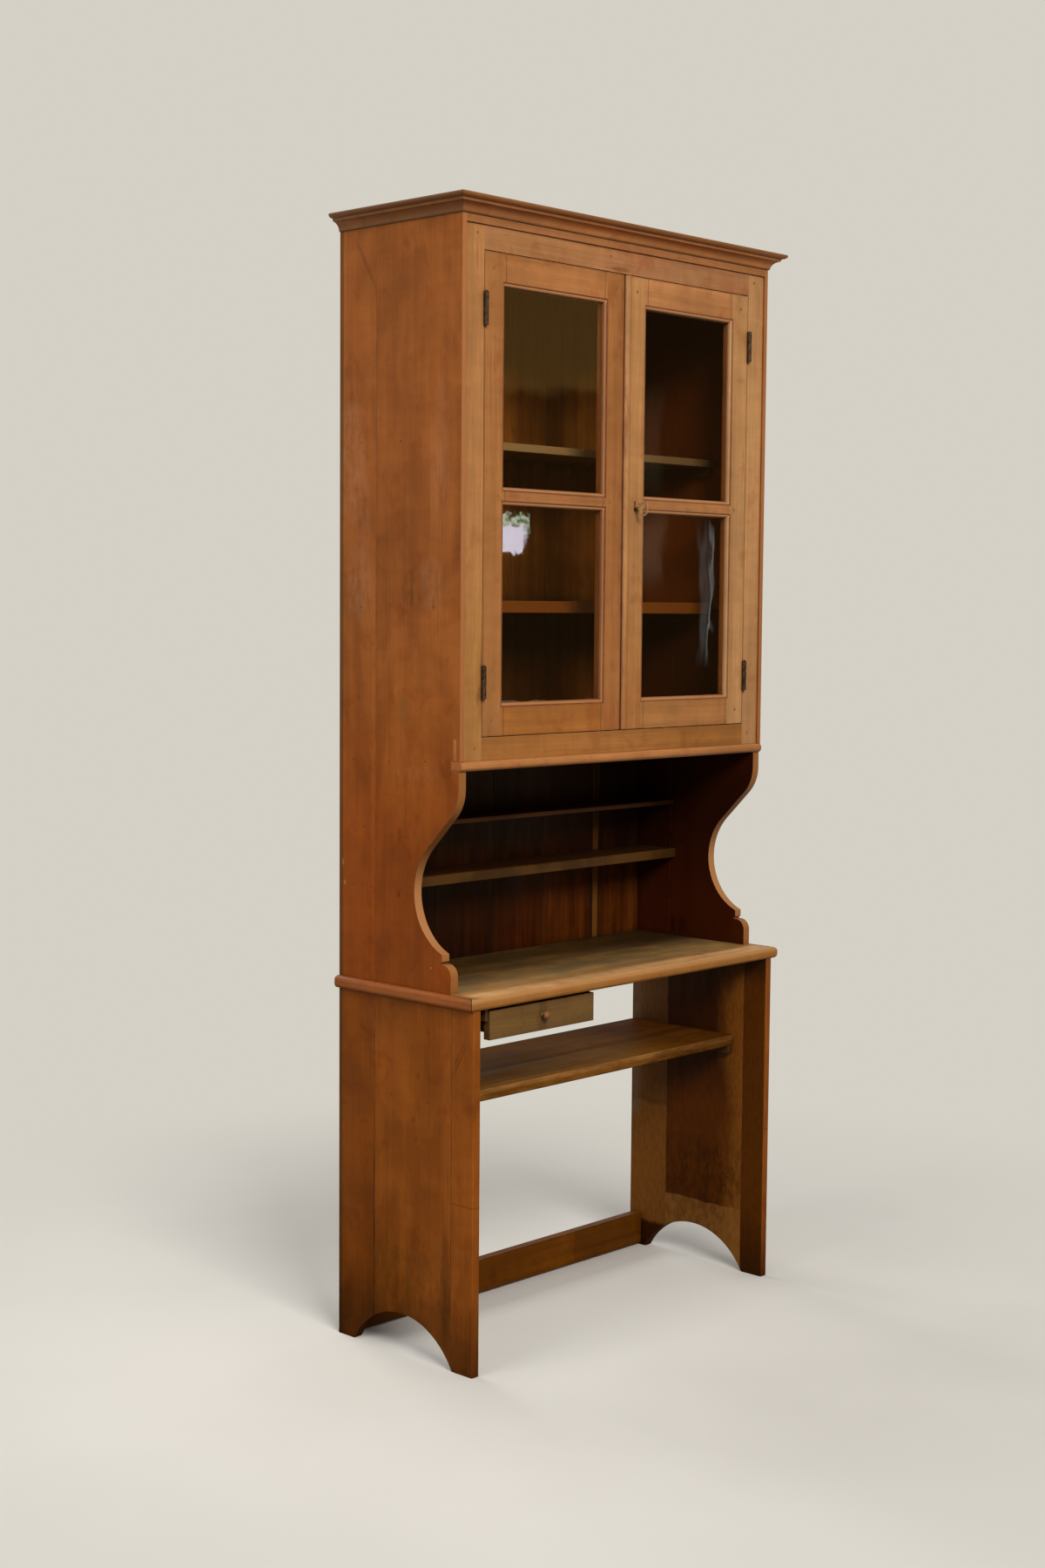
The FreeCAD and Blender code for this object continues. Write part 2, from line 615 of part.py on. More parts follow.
# ---------------------------------------------------------------- face frame
def face_frame():
    """Two stiles and two rails round the door opening, a fillet under the cornice, and pegs."""
    depth = (FRAME_FACE, FRAME_BACK)
    low = CASE_BOTTOM + BEAD_H
    middle = (FRAME_FACE + FRAME_BACK) / 2
    tenon_depth = (middle - TENON_T / 2, middle + TENON_T / 2)
    top_rail = box((-OPENING_HALF, OPENING_HALF), depth, (OPENING_Z[1], CASE_TOP))
    bottom_rail = box((-OPENING_HALF, OPENING_HALF), depth, (low, OPENING_Z[0]))
    tenon_z = (OPENING_Z[1] + FRAME_TENON_IN[0], CASE_TOP - FRAME_TENON_IN[1])
    stiles = []
    pegs = []
    for side, sign in SIDES.items():
        stile = box((sign * OPENING_HALF, sign * (HALF - SIDE_LIP)), depth, (low, CASE_TOP))
        top_tenon = box((sign * OPENING_HALF, sign * (OPENING_HALF + FRAME_TENON_LONG)), tenon_depth, tenon_z)
        peg_x = sign * (OPENING_HALF + FRAME_PEG_IN)
        here = [
            octagon_peg(peg_x, OPENING_Z[1] + FRAME_PEG_UP, FRAME_FACE, FRAME_BACK),
            octagon_peg(peg_x, OPENING_Z[0] - FRAME_PEG_DOWN, FRAME_FACE, FRAME_BACK),
        ]
        stile = stile.cut(top_tenon).cut(rail_tenon(sign))
        for height in HINGE_Z:
            stile = stile.cut(leaf_gain(side, height, False))
        top_rail = top_rail.fuse(top_tenon)
        bottom_rail = bottom_rail.fuse(rail_tenon(sign))
        for peg in here:
            stile = stile.cut(peg)
            top_rail = top_rail.cut(peg)
            bottom_rail = bottom_rail.cut(peg)
        pegs += here
        stiles.append(stile)
    export("frame_stiles", *stiles)
    export("frame_top_rail", top_rail.removeSplitter())
    export("frame_bottom_rail", bottom_rail.removeSplitter())
    export("frame_pegs", *pegs)
    fillet = box((SIDE_LIP - HALF, HALF - SIDE_LIP), (UPPER_FRONT, FRAME_FACE), (FILLET_BOTTOM, CASE_TOP))
    export("frame_top_fillet", fillet)


# ---------------------------------------------------------------- cornice
def cornice_outline():
    """The cornice's section in projection and height: step, cove, fillet and rounded nose."""
    def at(out, height):
        return Vector(0, -out, CORNICE_BOTTOM + height)

    rise = HEIGHT - CORNICE_BOTTOM
    cove_start, cove_middle, cove_end = CORNICE_COVE
    nose_under, nose_tip, nose_over = CORNICE_NOSE
    return [
        at(0, 0),
        at(CORNICE_STEP, 0),
        at(*cove_start),
        (at(*cove_middle), at(*cove_end)),
        at(*CORNICE_FILLET[0]),
        at(*CORNICE_FILLET[1]),
        (at(*nose_under), at(*nose_tip)),
        (at(*nose_over), at(CORNICE_TOP_OUT, rise)),
        at(0, rise),
    ]


def cornice():
    """A front moulding and two returns, mitred at the corners."""
    reach = HALF + CORNICE_OUT
    front = prism(cornice_outline(), Vector(2 * reach, 0, 0))
    front.translate(Vector(-reach, UPPER_FRONT, 0))
    plan = [(-HALF, UPPER_FRONT), (HALF, UPPER_FRONT), (reach, UPPER_FRONT - CORNICE_OUT)]
    plan.append((-reach, UPPER_FRONT - CORNICE_OUT))
    height = Vector(0, 0, HEIGHT - CORNICE_BOTTOM)
    cutter = prism([Vector(px, py, CORNICE_BOTTOM) for px, py in plan], height)
    export("cornice_front", front.common(cutter))

    steps = [flipped(turned_to_x(step)) for step in cornice_outline()]
    side = prism(steps, Vector(0, DEPTH - UPPER_FRONT + CORNICE_OUT, 0))
    side.translate(Vector(HALF, UPPER_FRONT - CORNICE_OUT, 0))
    plan = [(HALF, UPPER_FRONT), (reach, UPPER_FRONT - CORNICE_OUT), (reach, DEPTH), (HALF, DEPTH)]
    cutter = prism([Vector(px, py, CORNICE_BOTTOM) for px, py in plan], height)
    side = side.common(cutter)
    export("cornice_returns", side, mirrored(side))


def flipped(step):
    """An outline step with its width turned to the other sign."""
    if isinstance(step, tuple):
        return tuple(Vector(-point.x, point.y, point.z) for point in step)
    return Vector(-step.x, step.y, step.z)


# ---------------------------------------------------------------- doors
def door_x(side):
    """A door's hinge edge and meeting edge."""
    sign = SIDES[side]
    return sign * (OPENING_HALF - DOOR_GAP), sign * MEETING_GAP / 2


def door_z():
    """A door's lower and upper edge."""
    return OPENING_Z[0] + DOOR_GAP, OPENING_Z[1] - DOOR_GAP


def sticking_side(width, at):
    """The glass side of a stile or rail: moulding, glass ledge and rebate.

    at turns a distance from the plain edge and a depth behind the face into a point.
    """
    round_in, round_deep = STICKING_ROUND
    return [
        at(width - STICKING, 0),
        at(width - STICKING, QUIRK),
        (at(width - round_in, round_deep), at(width, STICKING_DEEP)),
        at(width, GLASS_AT),
        at(width - REBATE, GLASS_AT),
        at(width - REBATE, DOOR_T),
    ]


def stile(outer_x, sign, width, beaded):
    """An upright of a door. sign points from its outer edge towards the glass."""
    low, high = door_z()

    def at(across, deep):
        return Vector(outer_x + sign * across, FRAME_FACE + deep, low)

    if beaded:
        bead = (at(BEAD_W / 2, -BEAD_PROUD), at(BEAD_W, BEAD_QUIRK))
        start = [at(0, DOOR_T), at(0, BEAD_QUIRK), bead, at(BEAD_W + BEAD_QUIRK, 0)]
    else:
        start = [at(0, DOOR_T), at(0, 0)]
    return prism(start + sticking_side(width, at), Vector(0, 0, high - low))


def rail(x_from, x_to, z_edge, sign, width):
    """A cross-piece of a door. sign points up or down from its plain edge towards the glass."""
    start = min(x_from, x_to)

    def at(across, deep):
        return Vector(start, FRAME_FACE + deep, z_edge + sign * across)

    steps = [at(0, DOOR_T), at(0, 0)] + sticking_side(width, at)
    return prism(steps, Vector(abs(x_to - x_from), 0, 0))


def middle_rail(x_from, x_to):
    """The cross-piece between the two panes, moulded on both edges."""
    start = min(x_from, x_to)
    low, high = MIDDLE_RAIL
    centre = (low + high) / 2
    half = (high - low) / 2

    def up(across, deep):
        return Vector(start, FRAME_FACE + deep, centre + across)

    def down(across, deep):
        return Vector(start, FRAME_FACE + deep, centre - across)

    along = Vector(abs(x_to - x_from), 0, 0)
    upper = prism([up(0, DOOR_T), up(0, 0)] + sticking_side(half, up), along)
    lower = prism([down(0, DOOR_T), down(0, 0)] + sticking_side(half, down), along)
    return upper.fuse(lower).removeSplitter()


def tenon_for(wall_x, reach, z_low, z_high):
    """A tenon from a rail's shoulder into a stile. reach is its length, signed into the stile."""
    depth = (FRAME_FACE + TENON_DEPTH, FRAME_FACE + TENON_DEPTH + TENON_T)
    return box((wall_x, wall_x + reach), depth, (z_low, z_high))


def keyhole():
    """The round hole and the slot above it in the right door's meeting stile."""
    front = FRAME_FACE - CUT
    back = DOOR_BACK + CUT
    round_hole = Part.makeCylinder(KEYHOLE_R, back - front, Vector(KEY_X, front, KEY_Z), Vector(0, 1, 0))
    half = KEYHOLE_SLOT_W / 2
    slot = box((KEY_X - half, KEY_X + half), (front, back), (KEY_Z, KEYHOLE_TOP))
    return round_hole.fuse(slot)


def beading(x_sight, z_sight):
    """Four square beads that hold a pane from behind, mitred at the corners."""
    left, right = sorted(x_sight)
    low, high = z_sight
    inner = [(left, low), (right, low), (right, high), (left, high)]
    outer = [
        (left - REBATE, low - REBATE), (right + REBATE, low - REBATE),
        (right + REBATE, high + REBATE), (left - REBATE, high + REBATE),
    ]
    front = FRAME_FACE + GLASS_AT + GLASS_T
    thick = Vector(0, FRAME_FACE + BEADING_END - front, 0)
    beads = []
    for here in range(4):
        after = (here + 1) % 4
        plan = [inner[here], inner[after], outer[after], outer[here]]
        beads.append(prism([Vector(px, front, pz) for px, pz in plan], thick))
    return beads


def door(side):
    """One glazed door: two stiles, three rails with tenons and pegs, two panes and their beads."""
    sign = SIDES[side]
    hinge_x, meeting_x = door_x(side)
    low, high = door_z()
    meeting_width = RIGHT_MEETING_STILE if side == "right" else LEFT_MEETING_STILE
    hinge_stile = stile(hinge_x, -sign, HINGE_STILE, False)
    meeting_stile = stile(meeting_x, sign, meeting_width, side == "right")
    hinge_sight = hinge_x - sign * HINGE_STILE
    meeting_sight = meeting_x + sign * meeting_width
    hinge_wall = hinge_sight + sign * REBATE
    meeting_wall = meeting_sight - sign * REBATE

    top_z = high - TOP_RAIL
    bottom_z = low + BOTTOM_RAIL
    middle_low, middle_high = MIDDLE_RAIL
    from_edge, from_glass = OUTER_TENON_IN
    top_tenon = (top_z + from_glass, high - from_edge)
    middle_tenon = (middle_low + MIDDLE_TENON_IN, middle_high - MIDDLE_TENON_IN)
    bottom_tenon = (low + from_edge, bottom_z - from_glass)
    rails = {
        "top": (rail(hinge_wall, meeting_wall, high, -1, TOP_RAIL), top_tenon),
        "middle": (middle_rail(hinge_wall, meeting_wall), middle_tenon),
        "bottom": (rail(hinge_wall, meeting_wall, low, 1, BOTTOM_RAIL), bottom_tenon),
    }
    bare_stiles = hinge_stile.fuse(meeting_stile)
    pegs = []
    for place, (bar, tenon_span) in rails.items():
        length = STUB_TENON if place == "middle" else TENON_IN_STILE
        bar = bar.cut(bare_stiles)
        tenons = []
        here = []
        for wall, into in ((hinge_wall, sign), (meeting_wall, -sign)):
            tenons.append(tenon_for(wall, into * length, *tenon_span))
            peg_x = wall + into * PEG_IN[place]
            here.append(octagon_peg(peg_x, sum(tenon_span) / 2, FRAME_FACE, DOOR_BACK))
        hinge_stile = hinge_stile.cut(tenons[0]).cut(here[0])
        meeting_stile = meeting_stile.cut(tenons[1]).cut(here[1])
        bar = bar.fuse(tenons[0]).fuse(tenons[1]).cut(here[0]).cut(here[1])
        pegs += here
        export(f"{side}_door_{place}_rail", bar.removeSplitter())
    for height in HINGE_Z:
        hinge_stile = hinge_stile.cut(leaf_gain(side, height, True))
    if side == "right":
        meeting_stile = meeting_stile.cut(keyhole())
    export(f"{side}_door_hinge_stile", hinge_stile)
    export(f"{side}_door_meeting_stile", meeting_stile)
    export(f"{side}_door_pegs", *pegs)

    across = (hinge_sight + sign * GLASS_IN_REBATE, meeting_sight - sign * GLASS_IN_REBATE)
    depth = (FRAME_FACE + GLASS_AT, FRAME_FACE + GLASS_AT + GLASS_T)
    panes = []
    beads = []
    for z0, z1 in ((bottom_z, middle_low), (middle_high, top_z)):
        panes.append(box(across, depth, (z0 - GLASS_IN_REBATE, z1 + GLASS_IN_REBATE)))
        beads += beading((hinge_sight, meeting_sight), (z0, z1))
    export(f"{side}_door_panes", *panes)
    export(f"{side}_door_glazing_beads", *beads)


# ---------------------------------------------------------------- hinges
def hinge_axis(side):
    """Where a door's hinge pins stand: in the middle of the gap, clear of the wood's face."""
    return SIDES[side] * (OPENING_HALF - DOOR_GAP / 2), FRAME_FACE - KNUCKLE_R - KNUCKLE_GAP


def leaf_span(side, on_door):
    """The x faces of a hinge leaf let into the door's edge or into the frame."""
    sign = SIDES[side]
    if on_door:
        surface = sign * (OPENING_HALF - DOOR_GAP)
        return surface + sign * LEAF_PROUD, surface + sign * (LEAF_PROUD - LEAF_T)
    surface = sign * OPENING_HALF
    return surface - sign * LEAF_PROUD, surface - sign * (LEAF_PROUD - LEAF_T)


def leaf_gain(side, height, on_door):
    """The shallow gain for a hinge leaf, which is also the shape of the leaf's plate."""
    depth = (FRAME_FACE, FRAME_FACE + LEAF_W)
    return box(leaf_span(side, on_door), depth, (height - HINGE_LONG / 2, height + HINGE_LONG / 2))


def knuckles(height, on_door):
    """Height spans of the knuckles that belong to the door's leaf, or to the frame's."""
    low = height - HINGE_LONG / 2
    third = HINGE_LONG / 3
    if on_door:
        return [(low + third + KNUCKLE_GAP, low + 2 * third - KNUCKLE_GAP)]
    return [(low, low + third), (low + 2 * third, low + HINGE_LONG)]


def hinge_leaf(side, height, on_door):
    """One leaf of a butt hinge: its plate, the webs to its knuckles, and the bored knuckles."""
    axis_x, axis_y = hinge_axis(side)
    plate = leaf_gain(side, height, on_door)
    for z0, z1 in knuckles(height, on_door):
        web = box(leaf_span(side, on_door), (axis_y, FRAME_FACE), (z0, z1))
        barrel = Part.makeCylinder(KNUCKLE_R, z1 - z0, Vector(axis_x, axis_y, z0))
        plate = plate.fuse(web).fuse(barrel)
    foot = Vector(axis_x, axis_y, height - HINGE_LONG / 2 - CUT)
    bore = Part.makeCylinder(PIN_R + PIN_PLAY, HINGE_LONG + 2 * CUT, foot)
    return plate.cut(bore).removeSplitter()


def hinge_pin(side, height):
    """A pin with a low head resting on the top knuckle."""
    axis_x, axis_y = hinge_axis(side)
    top = height + HINGE_LONG / 2
    shaft = Part.makeCylinder(PIN_R, HINGE_LONG, Vector(axis_x, axis_y, height - HINGE_LONG / 2))
    head = Part.makeCone(PIN_HEAD_R, PIN_HEAD_TOP_R, PIN_HEAD, Vector(axis_x, axis_y, top))
    return shaft.fuse(head)


def hinges():
    """Two butt hinges a door. The pins stay with the leaves on the frame."""
    frame_leaves = []
    pins = []
    for side in SIDES:
        door_leaves = []
        for height in HINGE_Z:
            frame_leaves.append(hinge_leaf(side, height, False))
            door_leaves.append(hinge_leaf(side, height, True))
            pins.append(hinge_pin(side, height))
        export(f"{side}_door_hinge_leaves", *door_leaves)
    export("frame_hinge_leaves", *frame_leaves)
    export("hinge_pins", *pins)


# ---------------------------------------------------------------- lock, key and bolt
def lock():
    """A box lock screwed behind the right door's meeting stile, and its bolt."""
    depth = (DOOR_BACK, DOOR_BACK + LOCK_DEEP)
    case = box(LOCK_X, depth, LOCK_Z)
    inside_x = (LOCK_X[0] + LOCK_WALL, LOCK_X[1] - LOCK_WALL)
    inside_z = (LOCK_Z[0] + LOCK_WALL, LOCK_Z[1] - LOCK_WALL)
    case = case.cut(box(inside_x, (DOOR_BACK, DOOR_BACK + LOCK_DEEP - LOCK_WALL), inside_z))
    bolt_depth = (DOOR_BACK + LOCK_BOLT_IN, DOOR_BACK + LOCK_BOLT_IN + LOCK_BOLT_T)
    play = LOCK_SLOT_PLAY
    mouth_depth = (bolt_depth[0] - play, bolt_depth[1] + play)
    mouth_z = (LOCK_BOLT_Z[0] - play, LOCK_BOLT_Z[1] + play)
    mouth = box((LOCK_X[0] - CUT, LOCK_X[0] + LOCK_WALL + CUT), mouth_depth, mouth_z)
    export("lock_case", case.cut(mouth))
    export("lock_bolt", box(LOCK_BOLT_X, bolt_depth, LOCK_BOLT_Z))


def key():
    """An iron key standing in the lock: oval bow, shank, and a bit that points up."""
    bow_deep, bow_high = KEY_BOW
    centre = Vector(KEY_X, KEY_BOW_AT, KEY_Z)
    half = KEY_BOW_WIRE / 2
    outer = oval(centre, bow_high, bow_deep, half)
    inner = oval(centre, bow_high - KEY_BOW_WIRE, bow_deep - KEY_BOW_WIRE, half)
    bow = outer.cut(inner)
    start = KEY_BOW_AT + bow_deep - KEY_INTO_BOW
    end = DOOR_BACK + LOCK_DEEP - LOCK_WALL - KEY_END_PLAY
    backwards = Vector(0, 1, 0)
    shank = Part.makeCylinder(KEY_SHANK_R, end - start, Vector(KEY_X, start, KEY_Z), backwards)
    collar_at = Vector(KEY_X, start + KEY_COLLAR_AT, KEY_Z)
    collar = Part.makeCylinder(KEY_COLLAR_R, KEY_COLLAR_W, collar_at, backwards)
    thin = KEY_BIT_T / 2
    bit_end = end - KEY_BIT_END
    bit = box((KEY_X - thin, KEY_X + thin), (bit_end - KEY_BIT_W, bit_end), (KEY_Z, KEY_Z + KEY_BIT_R))
    return bow.fuse(shank).fuse(collar).fuse(bit).removeSplitter()


def oval(centre, high, deep, half):
    """An upright oval disc in the plane across x, 2 * half thick."""
    ellipse = Part.Ellipse()
    ellipse.MajorRadius = high
    ellipse.MinorRadius = deep
    face = Part.Face(Part.Wire([ellipse.toShape()]))
    face.rotate(Vector(0, 0, 0), Vector(0, 1, 0), -90)
    face.translate(centre - Vector(half, 0, 0))
    return face.extrude(Vector(2 * half, 0, 0))


def left_bolt():
    """A small barrel bolt inside the left door, shot up behind the top rail."""
    plate_back = DOOR_BACK + BOLT_PLATE_T
    axis_y = plate_back + BOLT_OFF
    half = BOLT_PLATE_W / 2
    plate = box((BOLT_X - half, BOLT_X + half), (DOOR_BACK, plate_back), BOLT_PLATE_Z)
    outer = BOLT_R + BOLT_PLAY + STAPLE_T
    foot, head = BOLT_PLATE_Z
    for low in (foot + STAPLE_IN, head - STAPLE_IN - STAPLE_H):
        loop = box((BOLT_X - outer, BOLT_X + outer), (plate_back, axis_y + outer), (low, low + STAPLE_H))
        plate = plate.fuse(loop)
    bore = Part.makeCylinder(BOLT_R + BOLT_PLAY, head - foot + 2 * CUT, Vector(BOLT_X, axis_y, foot - CUT))
    export("left_bolt_plate", plate.cut(bore).removeSplitter())

    rod = Part.makeCylinder(BOLT_R, BOLT_Z[1] - BOLT_Z[0], Vector(BOLT_X, axis_y, BOLT_Z[0]))
    button_at = Vector(BOLT_X, axis_y, (foot + head) / 2 - BOLT_BUTTON_DOWN)
    button = Part.makeCylinder(BOLT_BUTTON_R, BOLT_R + BOLT_BUTTON_REACH, button_at, Vector(0, 1, 0))
    export("left_bolt_rod", rod.fuse(button).removeSplitter())


# ---------------------------------------------------------------- everything
def main():
    os.makedirs("parts", exist_ok=True)
    base_sides()
    rear_stretcher()
    lower_shelf()
    shelf_cleats()
    drawer()
    drawer_runners()
    worktop()
    upper_sides()
    back_planks()
    case_boards()
    floor_bead()
    face_frame()
    cornice()
    for side in SIDES:
        door(side)
    hinges()
    lock()
    export("key", key())
    left_bolt()


main()
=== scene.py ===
import math

import bmesh
import bpy
from mathutils import Matrix, Vector


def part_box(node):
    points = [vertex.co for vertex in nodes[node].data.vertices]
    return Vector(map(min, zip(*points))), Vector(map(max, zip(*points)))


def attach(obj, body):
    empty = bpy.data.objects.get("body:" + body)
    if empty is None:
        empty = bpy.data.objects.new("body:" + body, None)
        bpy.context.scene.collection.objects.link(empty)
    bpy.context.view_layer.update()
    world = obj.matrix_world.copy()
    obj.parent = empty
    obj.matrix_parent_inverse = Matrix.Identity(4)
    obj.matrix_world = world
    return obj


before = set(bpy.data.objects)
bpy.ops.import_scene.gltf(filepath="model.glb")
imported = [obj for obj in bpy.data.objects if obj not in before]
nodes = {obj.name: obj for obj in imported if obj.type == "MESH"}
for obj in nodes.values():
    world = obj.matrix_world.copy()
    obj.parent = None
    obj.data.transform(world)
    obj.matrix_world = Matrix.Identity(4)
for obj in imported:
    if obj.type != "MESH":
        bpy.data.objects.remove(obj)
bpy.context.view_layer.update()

X, Y, Z = 0, 1, 2
LOW, HIGH = 0, 1
SIDES = {"left": -1, "right": 1}


def reach(node, end, axis):
    """Where a CAD node's box ends along an axis, in metres, to a tenth of a millimetre."""
    return round(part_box(node)[end][axis], 4)


# ---------------------------------------------------------------- the frame's measures, in metres
HALF = reach("base_side_right_rear_board", HIGH, X)      # half the width over the side boards
INNER = reach("base_side_right_rear_board", LOW, X)      # inner face of a side board
BACK = reach("back_planks", HIGH, Y)
BASE_FRONT = reach("base_side_right_front_board", LOW, Y)
UPPER_FRONT = reach("upper_side_right_front_board", LOW, Y)
SIDE_SEAMS = tuple(reach("base_side_right_middle_board", end, Y) for end in (LOW, HIGH))
CASE_BOTTOM = reach("cabinet_floor", LOW, Z)
WORKTOP_TOP = reach("worktop_boards", HIGH, Z)
SHELF_FRONT = reach("lower_shelf_boards", LOW, Y)
SHELF_TOP = reach("lower_shelf_boards", HIGH, Z)
DOOR_FACE, DOOR_BACK = (reach("left_door_top_rail", end, Y) for end in (LOW, HIGH))
HINGE_EDGE = reach("right_door_hinge_stile", HIGH, X)
PANES_X = {
    "left": (reach("left_door_hinge_stile", HIGH, X), reach("left_door_meeting_stile", LOW, X)),
    "right": (reach("right_door_meeting_stile", HIGH, X), reach("right_door_hinge_stile", LOW, X)),
}
PANES_Z = (
    (reach("left_door_bottom_rail", HIGH, Z), reach("left_door_middle_rail", LOW, Z)),
    (reach("left_door_middle_rail", HIGH, Z), reach("left_door_top_rail", LOW, Z)),
)

# places inside nodes that hold several solids
PLANK_SEAMS = (-0.360, -0.205, -0.036, 0.117, 0.280, 0.298)
WORKTOP_SEAM = 0.030
SHELF_SEAM = 0.017
HINGE_HEIGHTS = (1.310, 2.001)
NICHE_SHELF_HEIGHTS = (0.909, 1.022)
CABINET_SHELF_HEIGHTS = (1.452, 1.764)
OPENING_EDGE = 0.395       # half the width of the opening that the doors fill
MOULDING = 0.007           # width of the moulding round a pane


# ---------------------------------------------------------------- node trees written as expressions
def rgb(red, green, blue, scale=1.0):
    """A colour given as it looks on screen, 0 to 255, turned to linear light."""
    linear = []
    for part in (red, green, blue):
        part = part / 255
        part = part / 12.92 if part <= 0.04045 else ((part + 0.055) / 1.055) ** 2.4
        linear.append(part * scale)
    return (*linear, 1.0)


class Graph:
    """The nodes of a material or of the world, written as expressions."""

    def __init__(self, owner, place="Object"):
        self.owner = owner
        owner.use_nodes = True
        self.tree = owner.node_tree
        self.tree.nodes.clear()
        coordinates = self.node("ShaderNodeTexCoord").outputs
        self.place = coordinates[place]
        self.xyz = self.split(self.place)
        self.x, self.y, self.z = self.xyz
        self.facing = coordinates["Normal"]

    def split(self, vector):
        parts = self.node("ShaderNodeSeparateXYZ")
        self.plug(vector, parts.inputs[0])
        return list(parts.outputs)

    def node(self, kind, **settings):
        made = self.tree.nodes.new(kind)
        for key, value in settings.items():
            setattr(made, key, value)
        return made

    def plug(self, value, socket):
        if isinstance(value, bpy.types.NodeSocket):
            self.tree.links.new(value, socket)
        else:
            socket.default_value = value

    def math(self, operation, a, b=0.0, clamp=False):
        made = self.node("ShaderNodeMath", operation=operation, use_clamp=clamp)
        self.plug(a, made.inputs[0])
        self.plug(b, made.inputs[1])
        return made.outputs[0]

    def add(self, *values):
        total = values[0]
        for value in values[1:]:
            total = self.math("ADD", total, value)
        return total

    def times(self, *values):
        total = values[0]
        for value in values[1:]:
            total = self.math("MULTIPLY", total, value)
        return total

    def ease(self, value, low, high, start=0.0, end=1.0):
        """A smooth step from start to end as value goes from low to high."""
        made = self.node("ShaderNodeMapRange", interpolation_type="SMOOTHSTEP")
        for socket, given in zip(made.inputs, (value, low, high, start, end)):
            self.plug(given, socket)
        return made.outputs[0]

    def fall(self, value, low, high):
        """A smooth step from 1 to 0 as value goes from low to high."""
        return self.ease(value, low, high, 1.0, 0.0)

    def inverse(self, value):
        return self.math("SUBTRACT", 1.0, value)

    def distance(self, value, at):
        return self.math("ABSOLUTE", self.add(value, -at))

    def band(self, value, low, high, soft):
        """1 between low and high, 0 outside, with soft ends."""
        rise = self.ease(value, low - soft, low + soft)
        return self.times(rise, self.fall(value, high - soft, high + soft))

    def line(self, value, at, width):
        """1 within half a width of a value, 0 beyond one and a half."""
        return self.fall(self.distance(value, at), width * 0.5, width * 1.5)

    def mix(self, share, a, b, blend="MIX"):
        made = self.node("ShaderNodeMix", data_type="RGBA", blend_type=blend)
        self.plug(share, made.inputs[0])
        self.plug(a, made.inputs[6])
        self.plug(b, made.inputs[7])
        return made.outputs[2]

    def vector(self, *parts):
        made = self.node("ShaderNodeCombineXYZ")
        for part, socket in zip(parts, made.inputs):
            self.plug(part, socket)
        return made.outputs[0]

    def stretched(self, vector, factors):
        made = self.node("ShaderNodeVectorMath", operation="MULTIPLY")
        self.plug(vector, made.inputs[0])
        made.inputs[1].default_value = factors
        return made.outputs[0]

    def noise(self, vector, factors, detail=2.0, rough=0.5, twist=0.0):
        made = self.node("ShaderNodeTexNoise")
        self.plug(self.stretched(vector, factors), made.inputs["Vector"])
        made.inputs["Scale"].default_value = 1.0
        made.inputs["Detail"].default_value = detail
        made.inputs["Roughness"].default_value = rough
        made.inputs["Distortion"].default_value = twist
        return made.outputs[0]

    def principled(self, **inputs):
        shader = self.node("ShaderNodeBsdfPrincipled")
        for key, value in inputs.items():
            self.plug(value, shader.inputs[key.replace("_", " ")])
        return shader.outputs[0]

    def bevel(self, radius):
        """The surface's direction with its edges rounded off."""
        made = self.node("ShaderNodeBevel", samples=4)
        made.inputs["Radius"].default_value = radius
        return made.outputs[0]

    def bump(self, height, strength, distance, normal=None):
        made = self.node("ShaderNodeBump")
        made.inputs["Strength"].default_value = strength
        made.inputs["Distance"].default_value = distance
        self.plug(height, made.inputs["Height"])
        if normal is not None:
            self.plug(normal, made.inputs["Normal"])
        return made.outputs[0]

    def mix_shaders(self, share, a, b):
        made = self.node("ShaderNodeMixShader")
        for value, socket in zip((share, a, b), made.inputs):
            self.plug(value, socket)
        return made.outputs[0]

    def show(self, shader, kind="ShaderNodeOutputMaterial"):
        self.plug(shader, self.node(kind).inputs[0])
        return self.owner


# ---------------------------------------------------------------- wood
WHITE = (1.0, 1.0, 1.0, 1.0)
HONEY = (1.0, 0.72, 0.38, 1.0)    # tint of the glint on the old brown varnish


